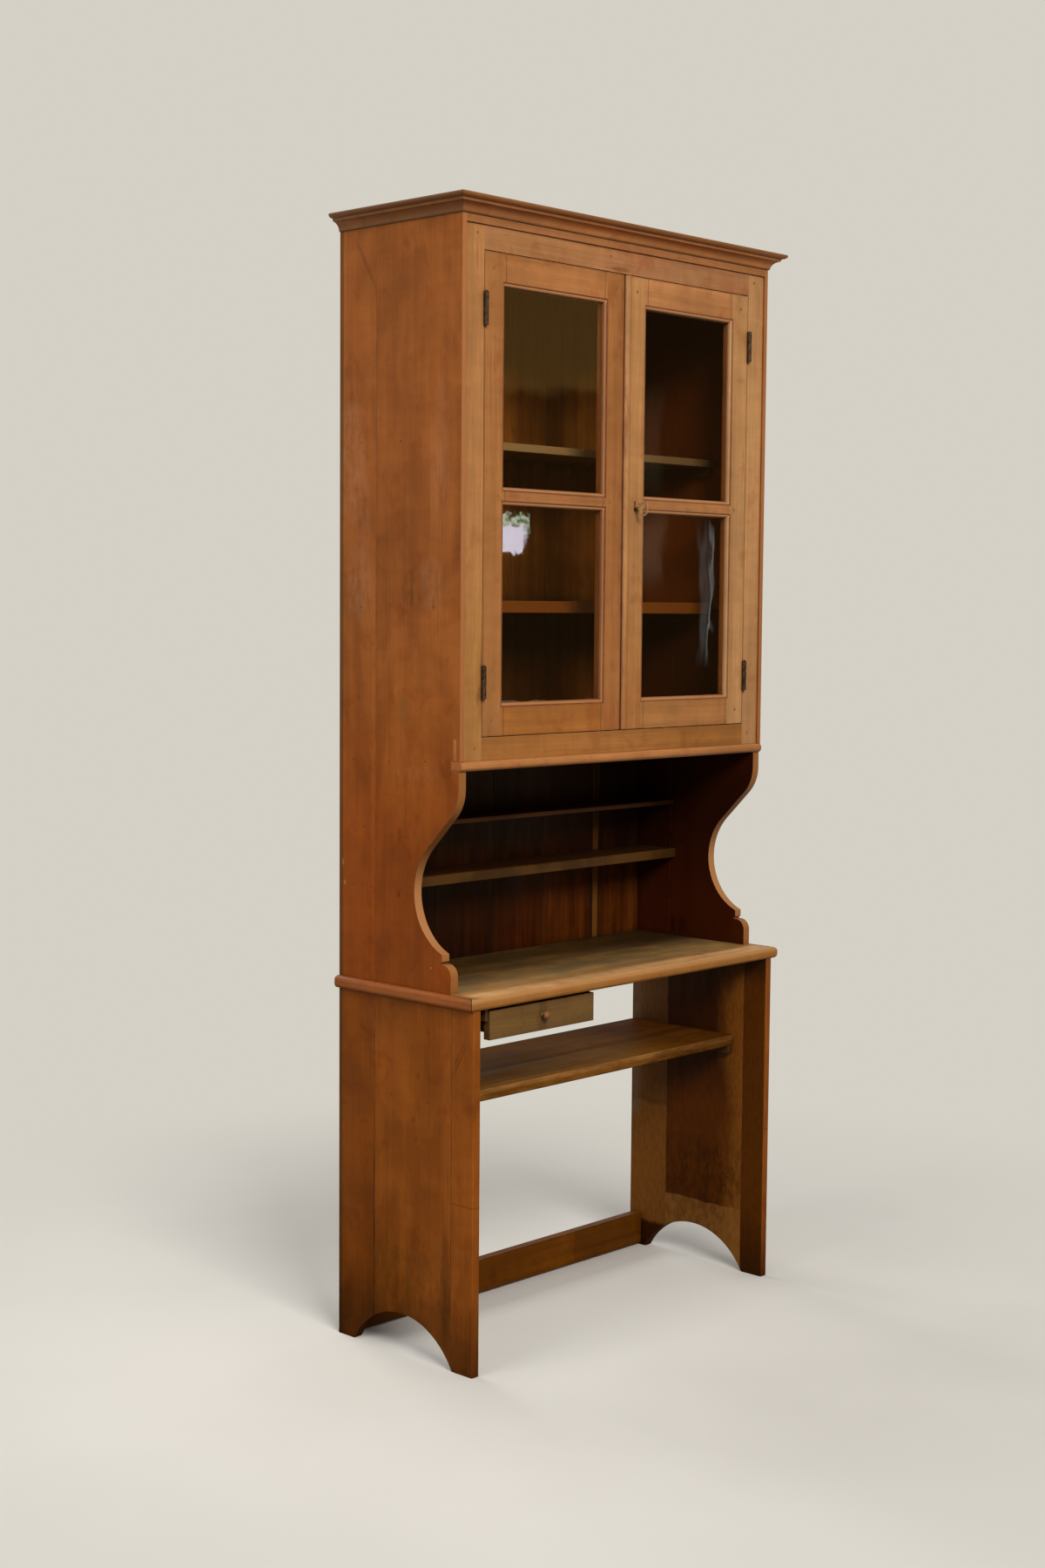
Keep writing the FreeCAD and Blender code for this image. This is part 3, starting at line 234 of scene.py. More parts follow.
class Wood(Graph):
    """Old varnished softwood. axes names the board's wide, thick and long axis.

    The growth rings are circles about a pith that runs along the board behind its face, bent by
    slow noise, so that faces show cathedrals and ends show arcs. Streaks, fibres, blotches and
    pores lie over them.
    """

    def __init__(self, name, axes, shade, seed, seams=(), seam_axis=None, pith=0.0, rings=0.3, vary=0.08,
                 cloudy=0.40):
        super().__init__(bpy.data.materials.new(name))
        wide, thick, long = axes
        self.name = name
        self.axes = axes
        self.low, self.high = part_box(name)
        along = self.xyz[long]
        index = 0.0
        if seams:
            over = self.xyz[wide if seam_axis is None else seam_axis]
            index = self.add(*[self.math("GREATER_THAN", over, seam) for seam in seams])
        offset = self.math("MULTIPLY", index, 3.7) if seams else 0.0
        self.grain = self.vector(
            self.add(self.xyz[wide], offset, seed * 1.31),
            self.add(self.xyz[thick], seed * 0.77),
            self.add(along, offset, seed * 2.17),
        )
        light, dark = shade
        slow = self.noise(self.grain, (5.0, 5.0, 1.1), 2.0, 0.5, 0.3)
        medium = self.noise(self.grain, (26.0, 26.0, 2.0), 3.0, 0.55)
        streak = self.noise(self.grain, (48.0, 48.0, 1.5), 3.0, 0.5, 0.2)
        fine = self.noise(self.grain, (170.0, 170.0, 3.4), 3.0, 0.6)
        fibre = self.noise(self.grain, (620.0, 620.0, 14.0), 2.0, 0.6)
        cloud = self.noise(self.grain, (8.0, 8.0, 4.5), 4.0, 0.55, 0.8)
        curl = self.noise(self.grain, (12.0, 12.0, 38.0), 2.0, 0.5, 0.4)

        side = self.add(self.xyz[wide], -pith, self.times(self.add(slow, -0.5), 0.16))
        if seams and seam_axis is None:
            side = self.math("SUBTRACT", side, self.times(index, 0.11))
        behind = 0.06 - (self.low[thick] + self.high[thick]) / 2
        deep = self.add(self.xyz[thick], behind, self.times(along, 0.035))
        radius = self.math("SQRT", self.add(self.times(side, side), self.times(deep, deep)))
        phase = self.times(self.add(radius, self.times(self.add(medium, -0.5), 0.010)), 190.0)
        ring = self.math("FRACT", phase)
        late = self.times(self.ease(ring, 0.35, 0.86), self.fall(ring, 0.88, 1.0))

        figure = self.add(
            self.times(streak, 0.85 - cloudy), self.times(cloud, cloudy), self.times(medium, 0.15)
        )
        self.colour = self.mix(self.ease(figure, 0.36, 0.64), dark, light)
        self.colour = self.mix(self.times(late, rings), self.colour, dark)
        self.tint(self.ease(slow, 0.36, 0.66, 1.0 - vary, 1.0 + vary))
        self.tint(self.ease(fine, 0.32, 0.70, 0.955, 1.04))
        self.tint(self.ease(curl, 0.34, 0.66, 0.955, 1.04))
        self.tint(self.ease(fibre, 0.30, 0.72, 0.95, 1.03))
        blush = self.noise(self.place, (17.0, 17.0, 17.0), 3.0, 0.6, 0.5)
        red = self.mix(1.0, self.colour, (0.86, 0.74, 0.66, 1.0), "MULTIPLY")
        self.colour = self.mix(self.ease(blush, 0.54, 0.70, 0.0, 0.75), self.colour, red)
        pores = self.noise(self.grain, (260.0, 260.0, 9.0), 1.0, 0.5)
        self.tint(self.ease(pores, 0.68, 0.76, 1.0, 0.82))
        self.cloud = cloud
        self.slow = slow
        self.medium = medium
        self.bump_parts = [self.times(fibre, 0.45), self.times(late, 0.30), self.times(streak, 0.4)]
        self.rough = self.ease(medium, 0.3, 0.7, 0.44, 0.60)
        self.index = index

    def tint(self, factor):
        """Multiplies the colour by a number."""
        self.colour = self.mix(1.0, self.colour, self.vector(factor, factor, factor), "MULTIPLY")

    def product(self, masks):
        """The masks multiplied, or 1 where there is none."""
        return self.times(*masks) if masks else 1.0

    def stain(self, colour, amount, *masks):
        """Blends a colour in where the masks are 1."""
        mask = self.product(masks)
        self.colour = self.mix(self.times(mask, amount) if amount != 1.0 else mask, self.colour, colour)

    def shade(self, colour, *masks):
        """Multiplies the colour by another where the masks are 1."""
        shaded = self.mix(1.0, self.colour, (*colour, 1.0), "MULTIPLY")
        self.colour = self.mix(self.product(masks), self.colour, shaded)

    def darken(self, amount, *masks):
        """Multiplies the colour by 1 - amount where the masks are 1."""
        self.tint(self.inverse(self.times(self.product(masks), amount)))

    def wavy(self, axis, noise, amount):
        """A coordinate pushed to and fro by a noise."""
        return self.add(self.xyz[axis], self.times(self.add(noise, -0.5), amount))

    def knot(self, across, along, size, heart=0.55):
        """An oval knot on the wide face, with a paler swirl round it; heart is how dark its middle is."""
        wide, _, long = self.axes
        wobble = self.times(self.add(self.medium, -0.5), size * 1.4)
        a = self.times(self.add(self.xyz[wide], -across, wobble), 1 / size)
        b = self.times(self.add(self.xyz[long], -along, wobble), 0.62 / size)
        far = self.math("SQRT", self.add(self.times(a, a), self.times(b, b)))
        swirl = self.math("SINE", self.times(far, 9.0))
        self.darken(0.16, self.fall(far, 1.0, 3.4), self.ease(swirl, -1.0, 1.0))
        self.darken(heart, self.fall(far, 0.45, 1.05))

    def spot(self, at, size, lean=0.0):
        """1 in an oval on the wide face, 0 outside it. It leans by lean across for 1 along."""
        wide, _, long = self.axes
        up = self.add(self.xyz[long], -at[1])
        a = self.times(self.add(self.xyz[wide], -at[0], self.times(up, -lean)), 1 / size[0])
        b = self.times(up, 1 / size[1])
        return self.fall(self.add(self.times(a, a), self.times(b, b)), 0.1, 1.0)

    def smudge(self, at, size, lean=0.0):
        """A spot broken up by streaks along the grain, as dirt or rubbing is."""
        wide = self.axes[0]
        factors = [24.0, 24.0, 24.0]
        factors[wide] = 60.0
        broken = self.ease(self.noise(self.place, factors, 5.0, 0.7), 0.34, 0.66)
        return self.times(self.spot(at, (1.5 * size[0], 1.5 * size[1]), lean), broken)

    def seam(self, axis, at, width=0.0008, amount=0.65):
        """A dark hairline where two boards meet."""
        self.darken(amount, self.line(self.xyz[axis], at, width))

    def finish(self, wear=0.0, grime_and_shade=0.35, gloss=0.30, glint=WHITE):
        """Worn arrises, grime and painted shade in corners, raised fibres, a satin varnish and tinted glint.
        """
        rounded = self.bevel(0.0011)
        dot = self.node("ShaderNodeVectorMath", operation="DOT_PRODUCT")
        self.plug(rounded, dot.inputs[0])
        self.plug(self.node("ShaderNodeNewGeometry").outputs["Normal"], dot.inputs[1])
        edge = self.fall(dot.outputs["Value"], 0.80, 0.985)
        patchy = self.ease(self.noise(self.place, (34.0, 34.0, 34.0), 2.0), 0.38, 0.62)
        if wear:
            self.stain(PALE_EDGE, wear, edge, patchy)
        # painted shade: ambient occlusion darkens the colour in corners and creases, together with the grime
        # there
        occluded_shade = self.node("ShaderNodeAmbientOcclusion", samples=4)
        occluded_shade.inputs["Distance"].default_value = 0.022
        self.darken(grime_and_shade, self.fall(occluded_shade.outputs["AO"], 0.35, 0.92))
        shader = self.principled(
            Base_Color=self.colour, Roughness=self.rough, Specular_IOR_Level=gloss, Specular_Tint=glint,
            Normal=self.bump(self.add(*self.bump_parts), 0.35, 0.0006, rounded),
        )
        return self.show(shader)

    def paint(self, **looks):
        """Finishes the wood and gives it to the CAD node that it is named after."""
        paint(self.name, self.finish(**looks))


def paint(name, material):
    """Gives a CAD node its material."""
    mesh = nodes[name].data
    mesh.materials.clear()
    mesh.materials.append(material)


def tone(red, green, blue, contrast=0.24):
    """Light and dark of a wood round its middle colour, which is given in linear light."""
    lighter = (red * (1 + contrast), green * (1 + contrast), blue * (1 + contrast), 1.0)
    darker = (red * (1 - contrast), green * (1 - 1.15 * contrast), blue * (1 - 1.3 * contrast), 1.0)
    return lighter, darker


# middle colours, in linear light
RED = tone(0.300, 0.090, 0.0160, 0.20)
WARM = tone(0.36, 0.128, 0.033, 0.20)
OLIVE = tone(0.205, 0.104, 0.027, 0.22)
DARK = tone(0.090, 0.032, 0.0070, 0.30)
# painted shade: a nearly black tone for the niche shelves, which lie in the shade under the cupboard
NICHE_SHADE = tone(0.030, 0.0085, 0.0012, 0.30)
INSIDE = tone(0.120, 0.032, 0.0030, 0.28)
PEG = tone(0.320, 0.110, 0.0270, 0.20)
BEAD_BROWN = tone(0.300, 0.085, 0.0150, 0.20)
PAPER = rgb(212, 208, 198)
AMBIENT = 0.30
PALE_EDGE = rgb(205, 160, 112)
# grime and painted shade in the quirk of the moulding round each pane
QUIRK = rgb(96, 36, 14)
DUST = rgb(176, 130, 92)

BOARD_UP = (Y, X, Z)       # side boards
PANEL_UP = (X, Y, Z)       # planks and stiles
RAIL = (Z, Y, X)
SHELF = (Y, Z, X)
BACKWARDS = (Z, X, Y)      # cleats, runners, drawer sides, returns


def inner_face(g, sign):
    """1 on the face of a side board that looks at the other side."""
    width = g.times(g.x, float(sign))
    return g.fall(width, INNER + 0.0006, INNER + 0.0016)


def side_board(name, seed, pith, sign, mark, knots=()):
    """A board of one of the four sides: red outside, dark inside, raw and grey at the back edge."""
    g = Wood(name, BOARD_UP, RED, seed, pith=pith, rings=0.10, vary=0.07, cloudy=0.66)
    for knot in knots:
        g.knot(*knot)
    mark(g)
    height = g.z
    inside = inner_face(g, sign)
    upper = name.startswith("upper")
    lower_shelf, upper_shelf = 1.452, 1.76
    # the inner face is stained near black, as old dark wood and as painted shade
    g.stain((0.042, 0.0072, 0.0015, 1.0) if upper else (0.120, 0.036, 0.0022, 1.0), 0.93, inside)
    if upper:
        # painted shade on the inner face below the cupboard's floor, and painted light inside the cupboard,
        # between and above its shelves
        g.darken(0.58, inside, g.band(height, 0.90, CASE_BOTTOM, 0.12))
        g.shade((2.9, 3.1, 2.0), inside, g.band(height, lower_shelf, upper_shelf, 0.006))
        g.shade((1.9, 1.9, 1.2), inside, g.ease(height, upper_shelf, upper_shelf + 0.01))
        g.darken(0.8, inside, g.smudge((0.061, 0.748), (0.022, 0.018)))
        g.darken(0.6, inside, g.smudge((0.087, 0.939), (0.030, 0.012)))
    for edge in (g.low.y, g.high.y):
        if BASE_FRONT + 0.01 < edge < BACK - 0.01 and abs(edge - UPPER_FRONT) > 0.01:
            g.seam(Y, edge, amount=0.35 if upper else 0.65)
    if upper:
        # painted light and shade: the outside is painted lighter and bluer high up, as a sheen, and darker
        # and warmer lower down
        lower_shade = g.fall(g.add(height, g.times(g.cloud, 0.25)), 1.10, 1.55)
        g.shade((0.88, 0.66, 0.38), lower_shade)
        g.shade((1.03, 1.03, 1.18), g.ease(height, 1.2, 1.5))
        g.shade((0.91, 0.89, 0.80), g.fall(height, 0.80, 1.10))
    else:
        g.shade((0.94, 0.84, 0.53))
        if "rear" in name:
            g.shade((0.76, 0.70, 0.54))
    back_edge = g.ease(g.add(g.y, g.times(g.slow, 0.006)), BACK - 0.010, BACK - 0.004)
    g.stain(rgb(62, 46, 20), 0.62, back_edge)
    if not upper:
        foot = g.add(height, g.times(g.medium, -0.16))
        g.darken(0.55, g.fall(foot, -0.06, 0.10))
        low_cloud = g.fall(g.add(height, g.times(g.cloud, 0.5)), 0.38, 0.62)
        g.shade((0.86, 0.84, 0.40), g.times(low_cloud, g.ease(g.y, -0.10, 0.06)))
    return g


def stained_and_shaded_base_side(g, sign):
    """The inner face of a base side: nearly black above, mottled and rubbed lighter towards the arch."""
    inside = inner_face(g, sign)
    height = g.wavy(Z, g.medium, 0.02)
    depth = g.wavy(Y, g.cloud, 0.10)
    behind = g.ease(g.y, SIDE_SEAMS[1] - 0.001, SIDE_SEAMS[1] + 0.001)
    ahead = g.fall(g.y, SIDE_SEAMS[0] - 0.001, SIDE_SEAMS[0] + 0.001)
    rear = g.times(inside, behind)
    between = g.inverse(g.math("MAXIMUM", behind, ahead))
    middle = g.times(inside, between)

    g.stain(rgb(140, 96, 54), 0.72, rear, g.ease(height, 0.46, 0.60))
    g.stain(rgb(126, 82, 40), 0.62, rear, g.band(height, 0.335, 0.500, 0.020))
    g.stain(rgb(142, 88, 34), 0.62, rear, g.band(height, 0.06, 0.335, 0.006))
    # painted reflection: a greyish strip along the rear edge, above a third of a metre, where the varnish
    # mirrors the pale wall at a grazing angle
    g.stain(rgb(128, 104, 84), 0.45, inside, g.ease(g.y, 0.155, 0.178), g.ease(height, 0.28, 0.32))

    # darker high up on the middle board, behind its front part
    upper_dark = g.ease(g.add(height, g.times(g.slow, 0.10)), 0.38, 0.51)
    g.shade((0.41, 0.35, 0.36), middle, upper_dark, g.ease(depth, -0.13, -0.05))
    g.shade((0.87, 0.75, 0.62), middle)
    g.stain(rgb(150, 90, 30), 0.70, middle, g.fall(depth, -0.118, -0.060))
    mottle = g.ease(g.noise(g.place, (20.0, 60.0, 34.0), 6.0, 0.78), 0.38, 0.62)
    g.shade((0.55, 0.54, 0.60), middle, g.band(height, 0.14, 0.275, 0.035), mottle)
    fibres = g.ease(g.noise(g.place, (60.0, 160.0, 50.0), 4.0, 0.7), 0.36, 0.66, 0.86, 1.14)
    g.colour = g.mix(inside, g.colour, g.mix(1.0, g.colour, g.vector(fibres, fibres, fibres), "MULTIPLY"))
    ragged = g.wavy(Z, g.medium, 0.010)
    g.darken(0.75, inside, g.line(ragged, 0.1370, 0.0012), g.band(g.y, -0.085, 0.080, 0.006))
    bare = g.times(inside, g.fall(ragged, 0.1340, 0.1390), between)
    g.stain(rgb(150, 100, 46), 0.72, bare, g.ease(mottle, 0.0, 1.0, 1.0, 0.55))
    seam_line = g.line(g.y, SIDE_SEAMS[0] + 0.003, 0.0016)
    g.stain(rgb(150, 84, 32), 0.45, inside, seam_line, g.ease(height, 0.25, 0.45))
    g.shade((0.88, 0.85, 0.55), inside, ahead)
    # painted shadow: darker just under the worktop, in front of the rear board
    g.darken(0.65, inside, g.ease(g.z, 0.630, 0.685), g.inverse(behind))


def mark_base_front(g):
    """Marks on the outside of a base side's front board: a slanting figure and a short crack."""
    for rise, width in ((0.0, 0.0035), (0.014, 0.0026)):
        g.darken(0.30, g.spot((-0.146, 0.600 + rise), (width, 0.050), -0.55))
    crack = g.line(g.add(g.z, g.times(g.medium, 0.004)), 0.328, 0.0008)
    g.darken(0.5, crack, g.fall(g.y, -0.130, -0.124))


def mark_base_middle(g):
    """Marks on the outside of a base side's middle board: dirt round the arch."""
    g.stain(rgb(84, 56, 26), 0.45, g.smudge((0.02, 0.13), (0.16, 0.09)))
    g.darken(0.35, g.spot((-0.112, 0.16), (0.018, 0.14)))


def mark_base_rear(g):
    """The seam in front of a base side's rear board has opened towards the floor."""
    seam = g.line(g.y, SIDE_SEAMS[1] + 0.0012, 0.0012)
    g.darken(0.75, seam, g.fall(g.z, 0.36, 0.42))


def mark_upper_front(g):
    """Marks on the outside of a scrolled board: knots, pale rubbed places and a smear."""
    g.stain(DUST, 0.20, g.smudge((-0.085, 1.72), (0.022, 0.12)))
    g.darken(0.34, g.smudge((-0.017, 1.483), (0.030, 0.030)))
    g.stain(DUST, 0.26, g.smudge((-0.064, 1.494), (0.026, 0.040)))
    g.stain(DUST, 0.24, g.smudge((-0.030, 1.138), (0.050, 0.012)))
    g.stain(rgb(176, 112, 52), 0.30, g.smudge((-0.015, 1.10), (0.06, 0.09)))
    g.stain(rgb(112, 84, 50), 0.50, g.smudge((0.015, 1.251), (0.012, 0.024)))
    g.stain(rgb(220, 205, 180), 0.6, g.spot((-0.069, 0.769), (0.0022, 0.0022)))


def mark_upper_rear(g):
    """Marks on the outside of a plain rear board: a leaning dark streak and pale rubbed places."""
    g.darken(0.22, g.spot((0.116, 2.097), (0.008, 0.060), 0.58))
    g.stain(DUST, 0.26, g.smudge((0.160, 1.745), (0.032, 0.110)))
    g.stain(DUST, 0.18, g.smudge((0.130, 1.640), (0.022, 0.080)))
    g.stain(DUST, 0.26, g.smudge((0.135, 1.490), (0.034, 0.060)))
    g.darken(0.7, g.spot((0.126, 1.232), (0.0018, 0.0018)))
    g.stain(rgb(190, 180, 160), 0.5, g.spot((0.182, 0.95), (0.004, 0.008)))
    g.stain(rgb(190, 180, 160), 0.4, g.spot((0.176, 0.91), (0.005, 0.006)))


def worn_scroll(g):
    """The scrolled front edge below the glazed cupboard, rubbed to a tan that is palest in the bowl."""
    across = g.math("ABSOLUTE", g.split(g.facing)[X])
    edge = g.times(g.fall(across, 0.25, 0.55), g.fall(g.z, CASE_BOTTOM - 0.002, CASE_BOTTOM + 0.002))
    g.stain(rgb(158, 104, 56), 0.80, edge)
    g.stain(rgb(200, 140, 90), 0.55, edge, g.band(g.z, 0.79, 0.96, 0.05))
    g.darken(0.25, edge, g.band(g.z, 0.93, 1.06, 0.03))
    front = g.fall(g.add(g.y, g.times(g.slow, 0.004)), UPPER_FRONT + 0.0015, UPPER_FRONT + 0.0045)
    g.stain(rgb(176, 116, 70), 0.85, front, g.ease(g.z, 1.15, 1.17))


def paint_sides():
    """All ten boards of the four sides."""
    small_knots = ((-0.023, 0.470, 0.004, 0.35), (-0.030, 0.434, 0.003, 0.30), (-0.034, 0.556, 0.003, 0.40))
    plan = {
        "front": (1.0, -0.150, mark_base_front, ()),
        "middle": (2.0, -0.030, mark_base_middle, small_knots),
        "rear": (3.0, 0.125, mark_base_rear, ()),
    }
    for side, sign in SIDES.items():
        for place, (seed, pith, mark, knots) in plan.items():
            name = f"base_side_{side}_{place}_board"
            g = side_board(name, seed + 7 * sign, pith, sign, mark, knots)
            stained_and_shaded_base_side(g, sign)
            g.paint(wear=0.45, gloss=0.15, glint=HONEY)
        knots = [(-0.071, 1.450, 0.0025, 0.6), (0.021, 0.900, 0.0035, 0.45), (0.02, 1.02, 0.004, 0.20)]
        name = f"upper_side_{side}_front_board"
        g = side_board(name, 11.0 + 5 * sign, -0.020, sign, mark_upper_front, knots)
        worn_scroll(g)
        g.paint(wear=0.55, gloss=0.18, glint=HONEY)
        name = f"upper_side_{side}_rear_board"
        g = side_board(name, 17.0 + 5 * sign, 0.135, sign, mark_upper_rear)
        g.paint(wear=0.35, gloss=0.18, glint=HONEY)


def paint_planks():
    """The back: dark brown towards the inside, raw and grey behind, each plank its own tone."""
    g = Wood("back_planks", PANEL_UP, DARK, 23.0, seams=PLANK_SEAMS, pith=-0.40, rings=0.55, vary=0.2)
    plank = g.node("ShaderNodeTexWhiteNoise", noise_dimensions="1D")
    g.plug(g.add(g.index, 4.0), plank.inputs["W"])
    g.tint(g.ease(plank.outputs["Value"], 0.0, 1.0, 0.78, 1.20))
    height = g.z
    niche = g.band(height, WORKTOP_TOP - 0.004, CASE_BOTTOM + 0.006, 0.004)
    # painted shade: the planks in the niche are painted darker, and darker still above its lower shelf
    g.shade((0.30, 0.175, 0.12), niche)
    g.darken(0.45, niche, g.ease(height, 0.90, 0.98))
    # painted light: a pool of light low on the niche's planks, between the middle seams
    glow = g.times(
        g.fall(g.add(height, g.times(g.medium, 0.10)), 0.88, 0.97),
        g.ease(g.x, PLANK_SEAMS[2] - 0.02, PLANK_SEAMS[2] + 0.03),
        g.fall(g.x, PLANK_SEAMS[4] - 0.03, PLANK_SEAMS[4]),
    )
    streaks = g.ease(g.noise(g.place, (70.0, 70.0, 5.0), 3.0, 0.6), 0.36, 0.64)
    g.shade((2.9, 3.1, 1.6), niche, glow)
    g.shade((0.62, 0.58, 0.75), niche, streaks, g.fall(height, 0.97, 1.00))
    # painted light on the right end below the niche shelf, and painted shade on the left end
    right_end = g.ease(g.x, PLANK_SEAMS[5], PLANK_SEAMS[5] + 0.002)
    left_end = g.fall(g.x, PLANK_SEAMS[3] - 0.02, PLANK_SEAMS[3])
    below_shelf = g.fall(height, 0.88, 0.92)
    g.shade((2.8, 3.2, 1.7), niche, right_end, below_shelf)
    g.shade((0.66, 0.54, 0.60), niche, left_end, below_shelf)
    # painted light on the planks' front above the lower cupboard shelf, and painted shade below it, down to
    # the cupboard's floor
    g.shade((1.85, 1.7, 1.1), g.ease(height, 1.44, 1.50), g.fall(g.y, BACK - 0.004, BACK - 0.002))
    g.shade((0.75, 0.62, 0.45), g.band(height, 1.16, 1.42, 0.02))
    strip = g.band(g.x, PLANK_SEAMS[4], PLANK_SEAMS[5], 0.0006)
    g.stain((0.170, 0.060, 0.0090, 1.0), 1.0, strip, g.ease(height, 0.80, 1.10, 0.85, 0.16))
    for seam in PLANK_SEAMS:
        g.seam(X, seam, 0.0011, 0.8)
    behind = g.ease(g.y, BACK - 0.0035, BACK - 0.0015)
    raw = g.mix(g.ease(g.medium, 0.34, 0.66), rgb(128, 102, 72), rgb(160, 132, 98))
    g.stain(raw, 0.94, behind)
    g.tint(g.ease(plank.outputs["Value"], 0.0, 1.0, 0.86, 1.10))
    for seam in PLANK_SEAMS:
        near = g.distance(g.x, seam)
        g.darken(0.7, behind, g.fall(near, 0.0006, 0.0016))
    g.paint(grime_and_shade=0.45, gloss=0.20, glint=HONEY)


def worktop_face(g):
    """1 on the upper face of the worktop."""
    return g.ease(g.z, WORKTOP_TOP - 0.0015, WORKTOP_TOP - 0.0004)


def paint_worktop():
    """The worktop: pale at the front in painted light, dark at the back in painted shade."""
    g = Wood("worktop_boards", SHELF, OLIVE, 31.0, seams=(WORKTOP_SEAM,), pith=-0.05, rings=0.5, vary=0.18)
    top = worktop_face(g)
    depth = g.wavy(Y, g.cloud, 0.09)
    worn = g.noise(g.place, (7.0, 12.0, 7.0), 4.0, 0.6)
    g.stain(rgb(84, 66, 40), 0.6, top, g.ease(worn, 0.40, 0.62))
    # painted light and shade: the top is lighter towards the front, most at the front left, and darker
    # towards the back, most at the back right
    g.shade((1.9, 2.05, 2.2), top, g.fall(depth, -0.07, 0.02))
    g.shade((0.42, 0.40, 0.28), top, g.ease(depth, 0.01, 0.10))
    g.shade((1.45, 1.45, 1.45), top, g.fall(depth, -0.11, -0.06))
    left = g.fall(g.x, -0.30, -0.05)
    g.shade((1.30, 1.28, 1.32), top, left, g.fall(depth, -0.08, 0.04))
    g.shade((0.52, 0.52, 0.62), top, g.ease(g.x, 0.0, 0.30), g.ease(depth, -0.02, 0.06))
    g.shade((0.80, 0.84, 0.98), top)
    g.seam(Y, WORKTOP_SEAM)
    g.paint(wear=0.2, glint=HONEY)

    g = Wood("worktop_front_board", SHELF, WARM, 33.0, pith=-0.13, rings=0.35)
    top = worktop_face(g)
    back = g.ease(g.add(g.y, g.times(g.medium, 0.02)), -0.150, -0.122)
    # painted highlight: the top of the front board is painted bright, most at the very front
    g.shade((1.9, 3.0, 4.6), top, g.inverse(back))
    g.shade((1.3, 1.6, 1.9), top, back)
    g.shade((0.92, 1.03, 0.74), g.inverse(top))
    # painted highlight on the upper half of the nose's front face
    upper_half = g.ease(g.z, WORKTOP_TOP - 0.015, WORKTOP_TOP - 0.004)
    g.stain(rgb(196, 142, 88), 0.62, g.fall(g.y, -0.186, -0.180), upper_half)
    corner = g.fall(g.add(g.x, g.times(g.cloud, 0.05)), -0.430, -0.395)
    g.stain(rgb(92, 54, 26), 0.55, corner, top)
    g.paint(wear=0.15, gloss=0.15)


def paint_lower_shelf():
    """The lower shelf: a brown rear board, and a front board with a painted highlight along its front edge.
    """
    g = Wood("lower_shelf_boards", SHELF, OLIVE, 37.0, seams=(SHELF_SEAM,), pith=-0.03, rings=0.45, vary=0.14)
    behind = g.ease(g.y, SHELF_SEAM - 0.001, SHELF_SEAM + 0.001)
    depth = g.wavy(Y, g.medium, 0.03)
    g.shade((0.78, 0.74, 0.33))
    g.shade((1.20, 0.90, 0.55), behind)
    g.shade((0.65, 0.66, 0.5), behind, g.fall(depth, SHELF_SEAM, SHELF_SEAM + 0.05))
    ahead = g.inverse(behind)
    g.shade((0.88, 0.72, 0.54), ahead)
    # painted light: the front board's top is lighter towards its front edge
    g.shade((1.35, 1.35, 1.45), ahead, g.fall(depth, SHELF_FRONT + 0.005, SHELF_FRONT + 0.045))
    # painted reflection: the shelf is darker towards its right end, as the pale room is mirrored only further
    # left
    g.shade((0.62, 0.50, 0.42), g.ease(g.x, 0.12, 0.30))
    face = g.fall(g.y, SHELF_FRONT + 0.0008, SHELF_FRONT + 0.0018)
    wavy = g.wavy(Z, g.slow, 0.008)
    g.stain((0.235, 0.088, 0.014, 1.0), 0.8, face)
    # painted highlight along the top of the shelf's front edge
    upper_half = g.times(face, g.ease(wavy, SHELF_TOP - 0.014, SHELF_TOP - 0.007))
    g.stain(rgb(176, 122, 68), 0.60, upper_half)
    patchy = g.ease(g.noise(g.place, (11.0, 11.0, 60.0), 4.0, 0.65), 0.40, 0.62)
    g.shade((0.62, 0.58, 0.50), face, patchy)
    g.shade((0.55, 0.54, 0.50), face, g.ease(g.x, 0.05, 0.34))
    g.seam(Y, SHELF_SEAM)
    g.rough = g.ease(g.medium, 0.3, 0.7, 0.50, 0.64)
    g.paint(wear=0.3, gloss=0.02, glint=HONEY)


